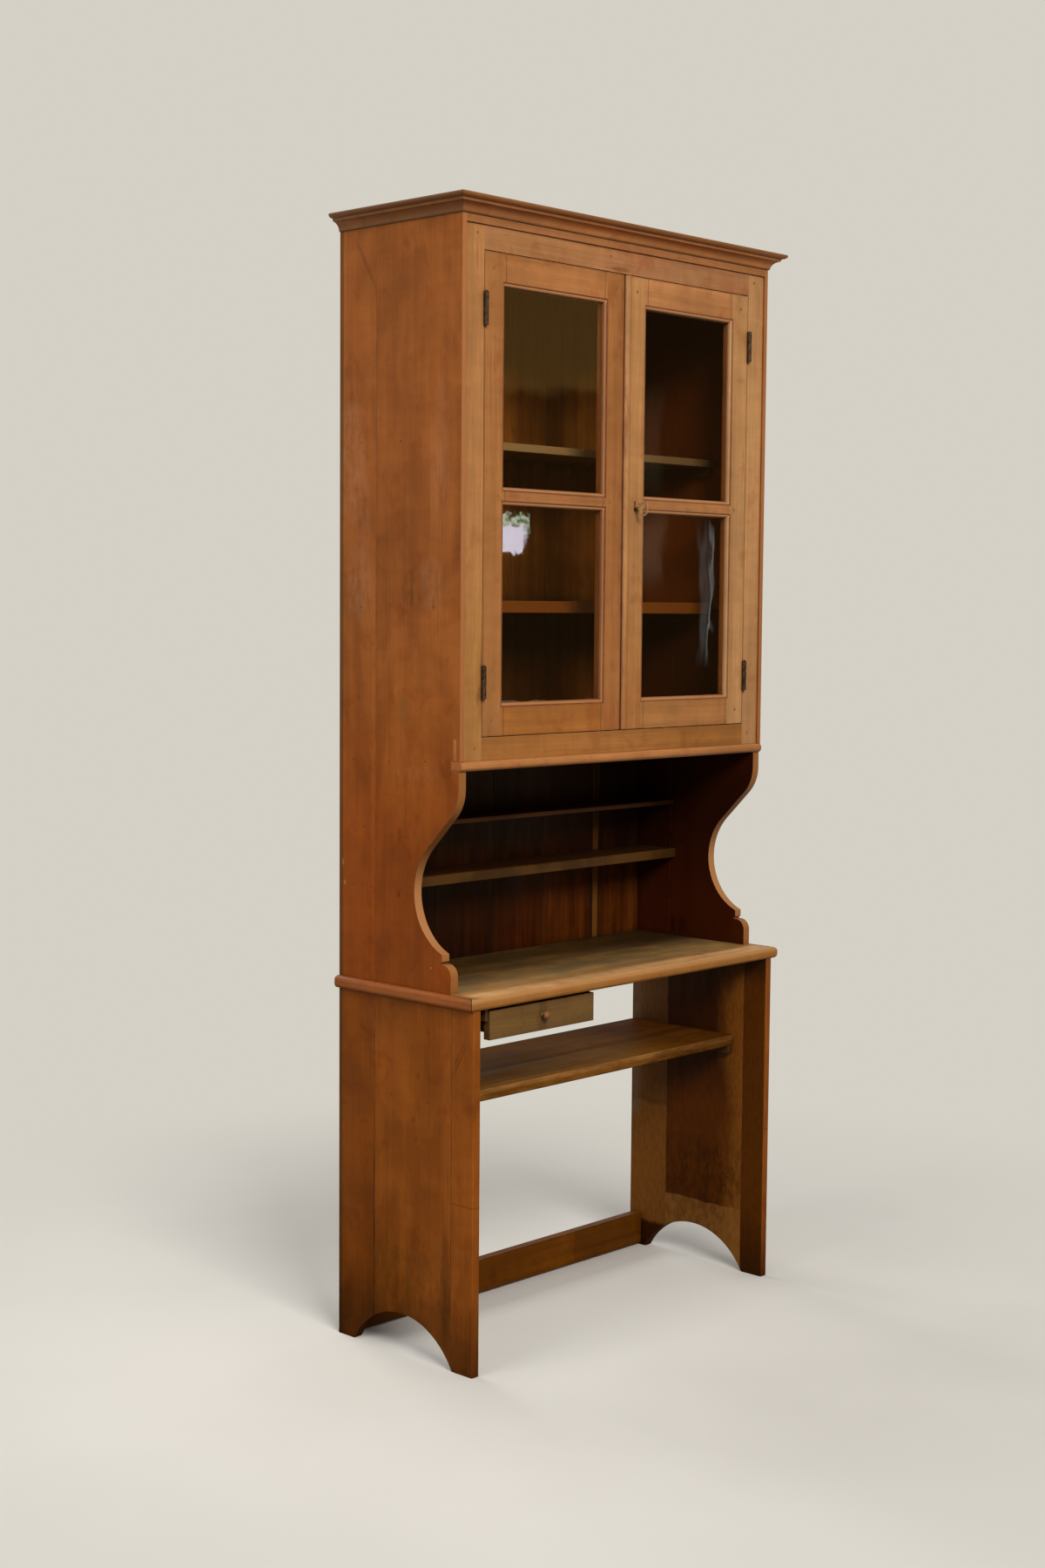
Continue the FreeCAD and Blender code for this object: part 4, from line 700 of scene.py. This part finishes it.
def paint_case_boards():
    """Niche shelves, cabinet shelves, the cabinet's floor and its top."""
    # painted shade: the niche shelves take a nearly black tone; their front edges are stained lighter
    g = Wood("niche_shelves", SHELF, NICHE_SHADE, 41.0, seams=(0.97,), seam_axis=Z, pith=0.12, rings=0.4)
    face = g.fall(g.y, g.low.y + 0.0100, g.low.y + 0.0115)
    upper = g.ease(g.z, 0.96, 0.98)
    patchy = g.ease(g.noise(g.place, (9.0, 9.0, 9.0), 3.0), 0.42, 0.60, 0.65, 1.25)
    bare = g.mix(1.0, (0.072, 0.029, 0.0050, 1.0), g.vector(patchy, patchy, patchy), "MULTIPLY")
    g.stain(bare, 0.85, face)
    g.darken(0.65, upper, g.ease(g.x, 0.20, 0.46))
    g.shade((0.92, 0.68, 0.97), upper, face)
    g.paint(wear=0.12, glint=HONEY)

    g = Wood("cabinet_shelves", SHELF, OLIVE, 47.0, seams=(1.6,), seam_axis=Z, pith=0.05, rings=0.4)
    edge = g.fall(g.y, -0.0180, -0.0160)
    upper = g.ease(g.z, 1.59, 1.61)
    g.shade((0.75, 0.55, 0.35))
    g.stain((0.200, 0.052, 0.0060, 1.0), 0.85, edge)
    g.stain((0.330, 0.205, 0.080, 1.0), 0.80, edge, upper)
    g.darken(0.45, upper, g.ease(g.x, -0.05, 0.35))
    g.paint(wear=0.2, glint=HONEY)

    g = Wood("cabinet_floor", SHELF, INSIDE, 53.0, pith=0.0)
    g.paint(grime_and_shade=0.4)
    g = Wood("top_board", SHELF, DARK, 59.0, pith=0.05)
    dust = g.noise(g.place, (9.0, 9.0, 9.0), 4.0, 0.6)
    g.stain(rgb(150, 132, 108), 0.42, g.ease(g.z, 2.1945, 2.1955), g.ease(dust, 0.10, 0.90))
    g.paint(grime_and_shade=0.3)

    g = Wood("cabinet_floor_bead", RAIL, tone(0.47, 0.185, 0.052, 0.16), 61.0, pith=1.10, rings=0.3)
    end = g.ease(g.math("ABSOLUTE", g.x), HALF - 0.0012, HALF - 0.0006)
    g.stain(RED[0], 1.0, end)
    # painted shade along the lower edge of the bead
    g.darken(0.35, g.fall(g.z, CASE_BOTTOM + 0.001, CASE_BOTTOM + 0.007))
    g.paint(wear=0.3)


def paint_joinery():
    """Face frame, doors, cornice, stretcher, drawer and the small sticks."""
    plain = {
        "rear_stretcher": (RAIL, tone(0.160, 0.047, 0.0008), 67.0, 0.20),
        "frame_stiles": (PANEL_UP, tone(0.469, 0.204, 0.063, 0.16), 71.0, -0.36),
        "frame_top_rail": (RAIL, tone(0.44, 0.175, 0.062, 0.16), 79.0, 2.30),
        "frame_bottom_rail": (RAIL, tone(0.405, 0.155, 0.033, 0.18), 83.0, 1.30),
        "frame_top_fillet": (RAIL, tone(0.36, 0.140, 0.043, 0.16), 89.0, 2.05),
        "cornice_front": (RAIL, tone(0.37, 0.140, 0.038, 0.20), 97.0, 2.40),
        "cornice_returns": (BACKWARDS, tone(0.235, 0.092, 0.023, 0.22), 101.0, 2.40),
        "worktop_side_nosings": (BACKWARDS, tone(0.250, 0.067, 0.0085, 0.20), 103.0, 0.80),
        "shelf_cleats": (BACKWARDS, DARK, 107.0, 0.40),
        "drawer_front": (RAIL, OLIVE, 109.0, 0.58),
        "drawer_sides": (BACKWARDS, OLIVE, 113.0, 0.60),
        "drawer_back": (RAIL, OLIVE, 127.0, 0.60),
        "drawer_bottom": (SHELF, OLIVE, 131.0, 0.05),
        "drawer_runners": (BACKWARDS, DARK, 137.0, 0.60),
        "drawer_knob": ((X, Z, Y), WARM, 139.0, -0.20),
        "frame_pegs": ((X, Z, Y), PEG, 149.0, 0.0),
        "left_door_glazing_beads": (PANEL_UP, BEAD_BROWN, 211.0, -0.30),
        "right_door_glazing_beads": (PANEL_UP, BEAD_BROWN, 213.0, 0.30),
    }
    for side, sign in SIDES.items():
        seed = 151.0 + 20 * sign
        left = side == "left"
        stile = tone(0.424, 0.175, 0.051, 0.16) if left else tone(0.49, 0.225, 0.078, 0.15)
        meeting = tone(0.365, 0.138, 0.036, 0.16) if left else tone(0.464, 0.215, 0.070, 0.16)
        rail = tone(0.40, 0.158, 0.046, 0.16) if left else tone(0.455, 0.190, 0.062, 0.16)
        foot = tone(0.435, 0.155, 0.027, 0.16) if left else tone(0.43, 0.172, 0.049, 0.16)
        door = {
            "hinge_stile": (PANEL_UP, stile, seed, sign * 0.30),
            "meeting_stile": (PANEL_UP, meeting, seed + 3, sign * 0.11),
            "top_rail": (RAIL, rail, seed + 5, 2.02),
            "middle_rail": (RAIL, rail, seed + 7, 1.60),
            "bottom_rail": (RAIL, foot, seed + 9, 1.17),
            "pegs": ((X, Z, Y), PEG, seed + 11, 0.0),
        }
        plain.update({f"{side}_door_{part}": given for part, given in door.items()})
    for name, (axes, shade, seed, pith) in plain.items():
        g = Wood(name, axes, shade, seed, pith=pith, rings=0.26)
        finish_stick(g, name)


def pane_distance(g, side):
    """How far a point of a door's face lies outside the nearer of its two panes."""
    left, right = PANES_X[side]
    across = g.add(g.math("ABSOLUTE", g.add(g.x, -(left + right) / 2)), -(right - left) / 2)
    nearest = None
    for low, high in PANES_Z:
        up = g.add(g.math("ABSOLUTE", g.add(g.z, -(low + high) / 2)), -(high - low) / 2)
        away = g.math("MAXIMUM", across, up)
        nearest = away if nearest is None else g.math("MINIMUM", nearest, away)
    return nearest


def mark_door_stick(g):
    """Brown backs, the groove and the pale moulding round the panes, and dirt along the outer edges."""
    name, low, high = g.name, g.low, g.high
    side = name.split("_")[0]
    behind = g.ease(g.y, DOOR_BACK - 0.004, DOOR_BACK - 0.001)
    g.stain(rgb(120, 74, 38), 0.45, behind)
    front = g.fall(g.y, DOOR_FACE + 0.0030, DOOR_FACE + 0.0045)
    away = pane_distance(g, side)
    patchy = g.ease(g.medium, 0.3, 0.6, 0.6, 1.0)
    # grime and painted shade: a dark line in the quirk round each pane
    g.stain(QUIRK, 0.72, front, g.line(away, MOULDING, 0.0017), patchy)
    # painted light: faces that look sideways, as in the meeting gap, are painted a bright red-brown against
    # the shade there
    gap_side = g.ease(g.math("ABSOLUTE", g.split(g.facing)[X]), 0.7, 0.9)
    in_gap = g.times(gap_side, g.ease(away, 0.025, 0.030))
    g.stain((0.62, 0.19, 0.035, 1.0), 0.85, in_gap)
    level = g.fall(away, MOULDING - 0.001, MOULDING)
    # painted light, with some wear, on the moulding below each pane, and painted light on the one above it,
    # which looks down
    for sill, lintel in PANES_Z:
        under = g.band(g.z, sill - MOULDING + 0.001, sill - 0.0005, 0.0008)
        g.stain(rgb(206, 148, 104), 0.30, under, level)
        over = g.band(g.z, lintel + 0.0015, lintel + MOULDING - 0.001, 0.0008)
        g.stain(rgb(214, 150, 98), 0.60, over, level)
    if side == "right":
        lower = g.fall(g.z, 1.20, 1.60)
        if "meeting_stile" in name:
            g.shade((0.95, 0.80, 0.63), lower)
        if "bottom_rail" in name:
            g.shade((0.93, 0.96, 0.93))
        if "hinge_stile" in name:
            g.shade((1.02, 1.10, 1.16))
    if name == "left_door_hinge_stile":
        g.shade((0.92, 0.89, 0.84))
    meeting = "meeting_stile" in name
    if meeting:
        from_gap = g.math("ABSOLUTE", g.add(g.x, -(high.x if side == "left" else low.x)))
        rubbed = g.ease(g.noise(g.place, (60.0, 60.0, 16.0), 4.0, 0.65), 0.48, 0.66)
        g.stain(rgb(122, 60, 26), 0.45, rubbed, g.fall(from_gap, 0.004, 0.016))
        ends = g.fall(g.z, low.z + 0.01, low.z + 0.10)
        g.shade((0.86, 0.74, 0.66), ends, g.ease(g.cloud, 0.42, 0.58))
    for axis, amount in ((X, 0.45 if meeting else 0.18), (Z, 0.20)):
        for at in (low[axis], high[axis]):
            near = g.distance(g.xyz[axis], at)
            g.darken(amount, g.fall(near, 0.0010, 0.0036), patchy)
    for joint in PANES_X[side]:
        near = g.distance(g.x, joint)
        outside = g.ease(away, MOULDING, MOULDING + 0.001)
        g.darken(0.40, g.fall(near, 0.0008, 0.0024), outside, patchy)


def touch_stiles(g):
    """The right stile is paler, the left one greyer low down and stained by rust beside its hinges."""
    left = g.fall(g.x, -0.01, 0.01)
    g.shade((1.04, 1.18, 1.44), g.ease(g.x, -0.01, 0.01))
    g.shade((0.88, 0.90, 0.74), g.fall(g.z, 1.35, 1.60), left)
    stained = g.ease(g.noise(g.place, (40.0, 40.0, 14.0), 4.0, 0.65), 0.44, 0.62)
    beside = g.times(g.ease(g.x, -0.424, -0.402), left)
    for hinge in HINGE_HEIGHTS:
        near = g.band(g.z, hinge - 0.06, hinge + 0.06, 0.03)
        g.stain(rgb(112, 66, 34), 0.65, stained, beside, near)


def touch_cornice(g):
    """Dark along its top, a painted shadow along its lower edge, and painted light, warmer in tone, below."""
    g.stain(rgb(104, 70, 38), 0.55, g.ease(g.z, g.high.z - 0.012, g.high.z - 0.006))
    # painted shadow: a dark line along the lower edge
    g.darken(0.50, g.fall(g.z, g.low.z + 0.001, g.low.z + 0.004))
    # painted light on the faces that look down, warmer in tone
    g.shade((1.10, 0.96, 0.80), g.fall(g.split(g.facing)[Z], -0.8, -0.2))


def touch_bottom_rail(g):
    g.shade((0.93, 0.92, 0.76), g.ease(g.x, 0.0, 0.25))


def touch_stretcher(g):
    """Darker at the left, with a joint near its right end."""
    g.shade((0.66, 0.60, 0.36), g.fall(g.x, -0.2, 0.25))
    g.darken(0.25, g.ease(g.x, 0.20, 0.23))
    g.seam(X, 0.215, 0.0008, 0.5)


def touch_top_rail(g):
    """Reddish patches to the right, and two small marks near the middle."""
    reddish = g.ease(g.noise(g.place, (5.0, 5.0, 22.0), 4.0, 0.6), 0.48, 0.70)
    g.shade((0.96, 0.82, 0.78), reddish, g.ease(g.x, -0.30, -0.10))
    g.shade((1.04, 1.12, 1.00), g.fall(g.x, -0.25, 0.15))
    g.shade((0.90, 0.92, 1.02))
    g.shade((0.98, 1.08, 1.06), g.ease(g.x, 0.02, 0.20))
    g.stain(rgb(96, 60, 34), 0.55, g.spot((2.115, -0.013), (0.006, 0.034)))
    g.stain(rgb(80, 46, 24), 0.7, g.spot((2.138, -0.0425), (0.003, 0.003)))


def touch_drawer_front(g):
    """Dirt round the knob."""
    g.shade((0.86, 0.84, 0.70))
    g.darken(0.25, g.fall(g.distance(g.x, (g.low.x + g.high.x) / 2), 0.006, 0.016))


def touch_knob(g):
    g.shade((0.62, 0.74, 0.80))


TOUCHES = {
    "frame_stiles": touch_stiles,
    "cornice_front": touch_cornice,
    "cornice_returns": touch_cornice,
    "frame_bottom_rail": touch_bottom_rail,
    "rear_stretcher": touch_stretcher,
    "frame_top_rail": touch_top_rail,
    "drawer_front": touch_drawer_front,
    "drawer_knob": touch_knob,
}
LOOKS = {
    "cornice_front": {"wear": 0.12, "grime_and_shade": 0.15},
    "cornice_returns": {"wear": 0.12, "grime_and_shade": 0.15},
    "rear_stretcher": {"gloss": 0.15},
    "frame_top_rail": {"grime_and_shade": 0.15},
    "drawer_knob": {"wear": 0.3},
    "shelf_cleats": {"gloss": 0.10},
}


def finish_stick(g, name):
    """A stick's own touches, and its finish."""
    if "door_" in name and "pegs" not in name and "beads" not in name:
        mark_door_stick(g)
    if name in TOUCHES:
        TOUCHES[name](g)
    g.paint(**{"wear": 0.4, "grime_and_shade": 0.4, **LOOKS.get(name, {})})


# ---------------------------------------------------------------- glass and iron
def old_glass(name):
    """Thin drawn glass, a little brown with age, with slow waves in its reflections.

    Light and shadow pass straight through it, as they nearly do through a thin pane.
    """
    g = Graph(bpy.data.materials.new(name))
    brownish = (0.93, 0.915, 0.87, 1.0)
    waves = g.bump(g.noise(g.place, (9.0, 9.0, 5.0), 2.0, 0.5), 0.035, 0.004)
    glass = g.principled(
        Base_Color=brownish, Roughness=0.006, IOR=1.5, Transmission_Weight=1.0, Normal=waves
    )
    clear = g.node("ShaderNodeBsdfTransparent")
    clear.inputs["Color"].default_value = brownish
    path = g.node("ShaderNodeLightPath").outputs
    straight = g.math("MAXIMUM", path["Is Shadow Ray"], path["Is Diffuse Ray"])
    return g.show(g.mix_shaders(straight, glass, clear.outputs[0]))


def dark_iron(name, rust=0.5, rubbed_before=None):
    """Dark brown iron with patches of rust. What stands in front of a depth is rubbed bright by hands."""
    g = Graph(bpy.data.materials.new(name))
    patch = g.noise(g.place, (240.0, 240.0, 180.0), 4.0, 0.6)
    fine = g.noise(g.place, (1400.0, 1400.0, 1400.0), 2.0, 0.6)
    colour = g.mix(g.ease(patch, 0.45, 0.62), rgb(52, 40, 24), rgb(92, 58, 32))
    colour = g.mix(g.ease(fine, 0.4, 0.7, 0.0, 0.4), colour, rgb(28, 21, 14))
    if rubbed_before is not None:
        rubbed = g.fall(g.y, rubbed_before - 0.003, rubbed_before + 0.003)
        colour = g.mix(g.times(rubbed, 0.9), colour, rgb(196, 158, 108))
    pitted = g.bump(g.add(g.times(patch, 0.7), g.times(fine, 0.3)), 0.3, 0.0004, g.bevel(0.0006))
    metal = g.ease(patch, 0.42, 0.60, 0.85, 0.85 - rust)
    rough = g.ease(patch, 0.40, 0.62, 0.42, 0.75)
    return g.show(g.principled(Base_Color=colour, Metallic=metal, Roughness=rough, Normal=pitted))


def paint_hardware():
    """Panes, hinges, lock, key and bolt."""
    glass = old_glass("old_glass")
    for side in SIDES:
        paint(f"{side}_door_panes", glass)
    iron = dark_iron("dark_iron")
    for name in ("frame_hinge_leaves", "left_door_hinge_leaves", "right_door_hinge_leaves", "hinge_pins"):
        paint(name, iron)
    worn = dark_iron("rubbed_iron", rust=0.25)
    for name in ("lock_case", "lock_bolt", "left_bolt_plate", "left_bolt_rod"):
        paint(name, worn)
    paint("key", dark_iron("key_iron", rust=0.25, rubbed_before=DOOR_FACE - 0.010))
    return iron


# ---------------------------------------------------------------- small pieces
def piece(name, body, material, build):
    """A new mesh object made by build(bmesh), riding on a body."""
    mesh = bpy.data.meshes.new(name)
    shape = bmesh.new()
    build(shape)
    shape.to_mesh(mesh)
    shape.free()
    made = bpy.data.objects.new(name, mesh)
    bpy.context.scene.collection.objects.link(made)
    mesh.materials.append(material)
    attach(made, body)
    return made


def facing(normal):
    """The rotation that turns +Z to a direction."""
    return Vector((0, 0, 1)).rotation_difference(Vector(normal)).to_matrix().to_4x4()


def dome(shape, place, radius, rings, steps, start=0.0, slot=0.0, floor=0.0):
    """The side of a low dome. rings gives each ring's share of the radius, and its height.

    Nearer to the x axis than slot it sinks to floor. Returns the last ring, which is left open.
    """
    loops = []
    for share, height in rings:
        loop = []
        for step in range(steps):
            angle = 2 * math.pi * (step + start) / steps
            spot = Vector((radius * share * math.cos(angle), radius * share * math.sin(angle), height))
            if height > 0 and abs(spot.y) < slot:
                spot.z = floor
            loop.append(shape.verts.new(place @ spot))
        loops.append(loop)
    for lower, upper in zip(loops, loops[1:]):
        for step in range(steps):
            after = (step + 1) % steps
            shape.faces.new((lower[step], lower[after], upper[after], upper[step]))
    return loops[-1]


def slotted_screw(shape, centre, normal, radius, turn):
    """A low domed screw head with a slot, flush with the face that it holds."""
    place = Matrix.Translation(Vector(centre)) @ facing(normal) @ Matrix.Rotation(turn, 4, "Z")
    crown = 0.0006
    floor = -0.0002
    half_slot = 0.13 * radius
    rings = ((1.0, -0.0004), (1.0, 0.00015), (0.82, 0.00045), (0.5, crown))
    last = dome(shape, place, radius, rings, 20, 0.5, 1.3 * half_slot, floor)
    levels = []
    for height in (crown, floor):
        level = []
        for sign in (-1, 1):
            for step in range(-2, 3):
                spot = Vector((radius * 0.125 * step, sign * half_slot, height))
                level.append(shape.verts.new(place @ spot))
        levels.append(level)
    top, bottom = levels
    for step in range(4):
        shape.faces.new((bottom[step], bottom[step + 1], bottom[step + 6], bottom[step + 5]))
        shape.faces.new((top[step], top[step + 1], bottom[step + 1], bottom[step]))
        shape.faces.new((bottom[step + 5], bottom[step + 6], top[step + 6], top[step + 5]))
    shape.faces.new(last)


def nail_head(shape, centre, normal, radius):
    """A small domed nail head, almost flush."""
    place = Matrix.Translation(Vector(centre)) @ facing(normal)
    shape.faces.new(dome(shape, place, radius, ((1.0, -0.0003), (1.0, 0.0001), (0.6, 0.00035)), 10))


def leaf_screws(shape, face, toward, turns):
    """Three screws in a leaf of each hinge. Their heads stand proud of the face, and look along x."""
    proud = 0.00065
    middle = -0.131
    stagger = 0.003
    for height in HINGE_HEIGHTS:
        for step, turn in enumerate(turns):
            rise = 0.022 * (step - 1)
            spot = (face + toward * proud, middle + stagger * (step % 2), height + rise)
            slotted_screw(shape, spot, (toward, 0, 0), 0.0031, turn)


def corner_screws(shape, plate, depth, inset_x, inset_z, radius, twist):
    """Four screws near the corners of a plate on a door's back, each turned its own way."""
    for z in (reach(plate, LOW, Z) + inset_z, reach(plate, HIGH, Z) - inset_z):
        for x in (reach(plate, LOW, X) + inset_x, reach(plate, HIGH, X) - inset_x):
            slotted_screw(shape, (x, depth, z), (0, 1, 0), radius, twist * x + z)


def screws(iron):
    """Screws of the hinges, the lock and the left door's bolt."""
    for side, sign in SIDES.items():

        def on_door(shape):
            leaf_screws(shape, sign * HINGE_EDGE, sign, (0.0, 0.7, 1.4))

        piece(f"{side}_door_hinge_screws", f"{side}_door", iron, on_door)

    def on_frame(shape):
        for sign in SIDES.values():
            leaf_screws(shape, sign * OPENING_EDGE, -sign, (0.3, 1.2, 2.1))

    piece("frame_hinge_screws", "carcass", iron, on_frame)

    def on_bolt_plate(shape):
        corner_screws(shape, "left_bolt_plate", DOOR_BACK + 0.0015, 0.0027, 0.003, 0.0019, 40)

    piece("left_bolt_screws", "left_door", iron, on_bolt_plate)

    def on_lock(shape):
        corner_screws(shape, "lock_case", DOOR_BACK + 0.014, 0.005, 0.005, 0.0024, 30)

    piece("lock_screws", "right_door", iron, on_lock)


def nails(iron):
    """Rows of nails through the back planks and the sides, into the shelves and boards that they hold."""
    narrowest = 0.03           # a plank narrower than this has no nails
    inset = 0.022

    def on_back(shape):
        edges = (-INNER,) + PLANK_SEAMS + (INNER,)
        for height in (*NICHE_SHELF_HEIGHTS, 1.158, *CABINET_SHELF_HEIGHTS, 2.150):
            for left, right in zip(edges, edges[1:]):
                if right - left < narrowest:
                    continue
                for x in (left + inset, right - inset):
                    nail_head(shape, (x, BACK, height + 0.003 * math.sin(90 * x)), (0, 1, 0), 0.0021)

    piece("back_nails", "carcass", iron, on_back)

    rows = {
        0.511: (-0.06, 0.04, 0.14),
        NICHE_SHELF_HEIGHTS[0]: (0.10, 0.15),
        NICHE_SHELF_HEIGHTS[1]: (0.12,),
        1.157: (-0.05, 0.05, 0.15),
        CABINET_SHELF_HEIGHTS[0]: (0.02, 0.13),
        CABINET_SHELF_HEIGHTS[1]: (0.02, 0.13),
        2.172: (-0.09, 0.02, 0.12),
    }

    def on_sides(shape):
        for sign in SIDES.values():
            for height, depths in rows.items():
                for depth in depths:
                    wobble = 0.003 * math.sin(77 * depth + 5 * height)
                    nail_head(shape, (sign * HALF, depth, height + wobble), (sign, 0, 0), 0.0016)

    piece("side_nails", "carcass", iron, on_sides)


# ---------------------------------------------------------------- camera, light, floor
def camera():
    """The photograph's viewpoint, from a fit of the object's corners."""
    place = (-3.2865, -3.0046, 1.4494)
    yaw, pitch, roll = (math.radians(angle) for angle in (-46.360, -4.622, 0.457))
    forward = Vector((-math.sin(yaw) * math.cos(pitch), math.cos(yaw) * math.cos(pitch), math.sin(pitch)))
    level = Vector((math.cos(yaw), math.sin(yaw), 0))
    up = level.cross(forward)
    right = math.cos(roll) * level + math.sin(roll) * up
    up = -math.sin(roll) * level + math.cos(roll) * up
    data = bpy.data.cameras.new("camera")
    data.lens = 49.91
    data.sensor_width = 36.0
    data.clip_end = 60.0
    made = bpy.data.objects.new("camera", data)
    bpy.context.scene.collection.objects.link(made)
    made.matrix_world = Matrix.Translation(place) @ Matrix((right, up, -forward)).transposed().to_4x4()
    bpy.context.scene.camera = made


def lamp(name, place, size, power, colour):
    """A large soft area lamp that looks at the middle of the cupboard."""
    middle = Vector((0.0, 0.0, 1.2))
    data = bpy.data.lights.new(name, "AREA")
    data.shape = "RECTANGLE"
    data.size, data.size_y = size
    data.energy = power
    data.color = colour
    made = bpy.data.objects.new(name, data)
    bpy.context.scene.collection.objects.link(made)
    made.location = place
    made.rotation_euler = (middle - Vector(place)).to_track_quat("-Z", "Y").to_euler()


def mirrored_room(g, side):
    """What the panes mirror: a dim far wall, a post, a bright crooked edge, and a window with leaves."""
    def ripple(scale, amount):
        return g.times(g.add(g.noise(g.place, (scale, scale, scale), 3.0), -0.5), amount)

    far_wall = g.times(g.ease(g.add(g.z, ripple(60.0, 0.012)), 0.094, 0.101), g.fall(side, 1.130, 1.150))
    room = g.mix(far_wall, (0.052, 0.032, 0.010, 1.0), (0.44, 0.240, 0.060, 1.0))
    post = g.band(side, 1.166, 1.189, 0.006)
    room = g.mix(g.times(post, g.band(g.z, 0.055, 0.095, 0.010)), room, (0.12, 0.095, 0.055, 1.0))
    room = g.mix(g.times(post, g.band(g.z, 0.014, 0.042, 0.008)), room, (0.24, 0.20, 0.13, 1.0))

    crooked = g.add(side, ripple(60.0, 0.0015))
    upright = g.band(g.z, -0.020, 0.036, 0.008)
    room = g.mix(g.times(g.band(crooked, 1.2340, 1.2410, 0.003), upright), room, (0.30, 0.29, 0.25, 1.0))
    room = g.mix(g.times(g.band(crooked, 1.2432, 1.2452, 0.0012), upright), room, (1.3, 1.4, 1.35, 1.0))

    rough_side = g.add(side, ripple(260.0, 0.010))
    rough_z = g.add(g.z, ripple(330.0, 0.009))
    window = g.times(g.band(rough_side, 1.000, 1.0475, 0.001), g.band(rough_z, 0.0252, 0.0375, 0.0007))
    leaves = g.times(g.band(rough_side, 1.010, 1.0540, 0.001), g.band(rough_z, 0.0350, 0.0425, 0.0007))
    sunlit = g.ease(ripple(520.0, 1.0), -0.10, 0.12)
    room = g.mix(leaves, room, g.mix(sunlit, (0.55, 0.95, 0.35, 1.0), (3.6, 4.4, 3.4, 1.0)))
    return g.mix(window, room, (5.6, 5.5, 6.6, 1.0))


def surround():
    """Pale to the eye, a dim plain ambient light, and in reflections a pale room, dark at the front right.

    side is how far to the right a direction points for each part of the way to the front.
    """
    world = bpy.data.worlds.new("studio")
    bpy.context.scene.world = world
    g = Graph(world, "Generated")

    def background(colour, strength=1.0):
        made = g.node("ShaderNodeBackground")
        g.plug(colour, made.inputs["Color"])
        made.inputs["Strength"].default_value = strength
        return made.outputs[0]

    front_right = g.ease(g.add(g.times(g.x, 0.74), g.times(g.y, -0.67)), 0.50, 0.88)
    side = g.math("DIVIDE", g.x, g.math("MAXIMUM", g.times(g.y, -1.0), 0.05))
    mirrored = g.mix(front_right, rgb(200, 196, 186), mirrored_room(g, side))
    path = g.node("ShaderNodeLightPath").outputs
    mirror_or_clear = g.math("MAXIMUM", path["Is Glossy Ray"], path["Is Transmission Ray"])
    lit = g.mix_shaders(mirror_or_clear, background((0.98, 0.98, 1.0, 1.0), AMBIENT), background(mirrored))
    g.show(g.mix_shaders(path["Is Camera Ray"], lit, background(PAPER)), "ShaderNodeOutputWorld")


def floor_material():
    """Pale to the eye, darker in the light it throws back, and fading into the surround."""
    g = Graph(bpy.data.materials.new("studio_floor"))
    path = g.node("ShaderNodeLightPath").outputs
    mottle = g.noise(g.place, (1.1, 1.1, 1.1), 4.0)
    pale = g.mix(g.ease(mottle, 0.3, 0.7), rgb(222, 218, 209), rgb(230, 226, 217))
    looked_at = g.math("MAXIMUM", path["Is Camera Ray"], path["Is Transmission Ray"])
    near = g.principled(Base_Color=g.mix(looked_at, rgb(96, 90, 78), pale), Roughness=0.75)
    glow = g.node("ShaderNodeEmission")
    glow.inputs["Color"].default_value = PAPER
    away = g.math("SQRT", g.add(g.times(g.x, g.x), g.times(g.y, g.y)))
    fade = g.times(g.ease(away, 0.65, 2.1), g.math("MAXIMUM", looked_at, path["Is Glossy Ray"]))
    return g.show(g.mix_shaders(fade, near, glow.outputs[0]))


def studio():
    """A wide round floor, soft lamps from the front left and the left, and a weak one behind."""
    lamp("key", (-2.3, -5.1, 4.5), (2.8, 2.0), 325.0, (1.0, 0.975, 0.94))
    lamp("behind", (0.3, 5.0, 3.9), (2.6, 2.0), 110.0, (1.0, 0.99, 0.97))
    lamp("fill", (-4.2, 0.2, 2.6), (2.2, 2.4), 55.0, (0.98, 0.98, 1.0))

    mesh = bpy.data.meshes.new("floor")
    shape = bmesh.new()
    bmesh.ops.create_circle(shape, cap_ends=True, radius=30.0, segments=96)
    shape.to_mesh(mesh)
    shape.free()
    mesh.materials.append(floor_material())
    floor = bpy.data.objects.new("floor", mesh)
    bpy.context.scene.collection.objects.link(floor)


def main():
    bpy.context.scene.view_settings.view_transform = "Standard"
    camera()
    surround()
    studio()
    paint_sides()
    paint_planks()
    paint_worktop()
    paint_lower_shelf()
    paint_case_boards()
    paint_joinery()
    iron = paint_hardware()
    screws(iron)
    nails(iron)


main()
bpy.context.view_layer.update()
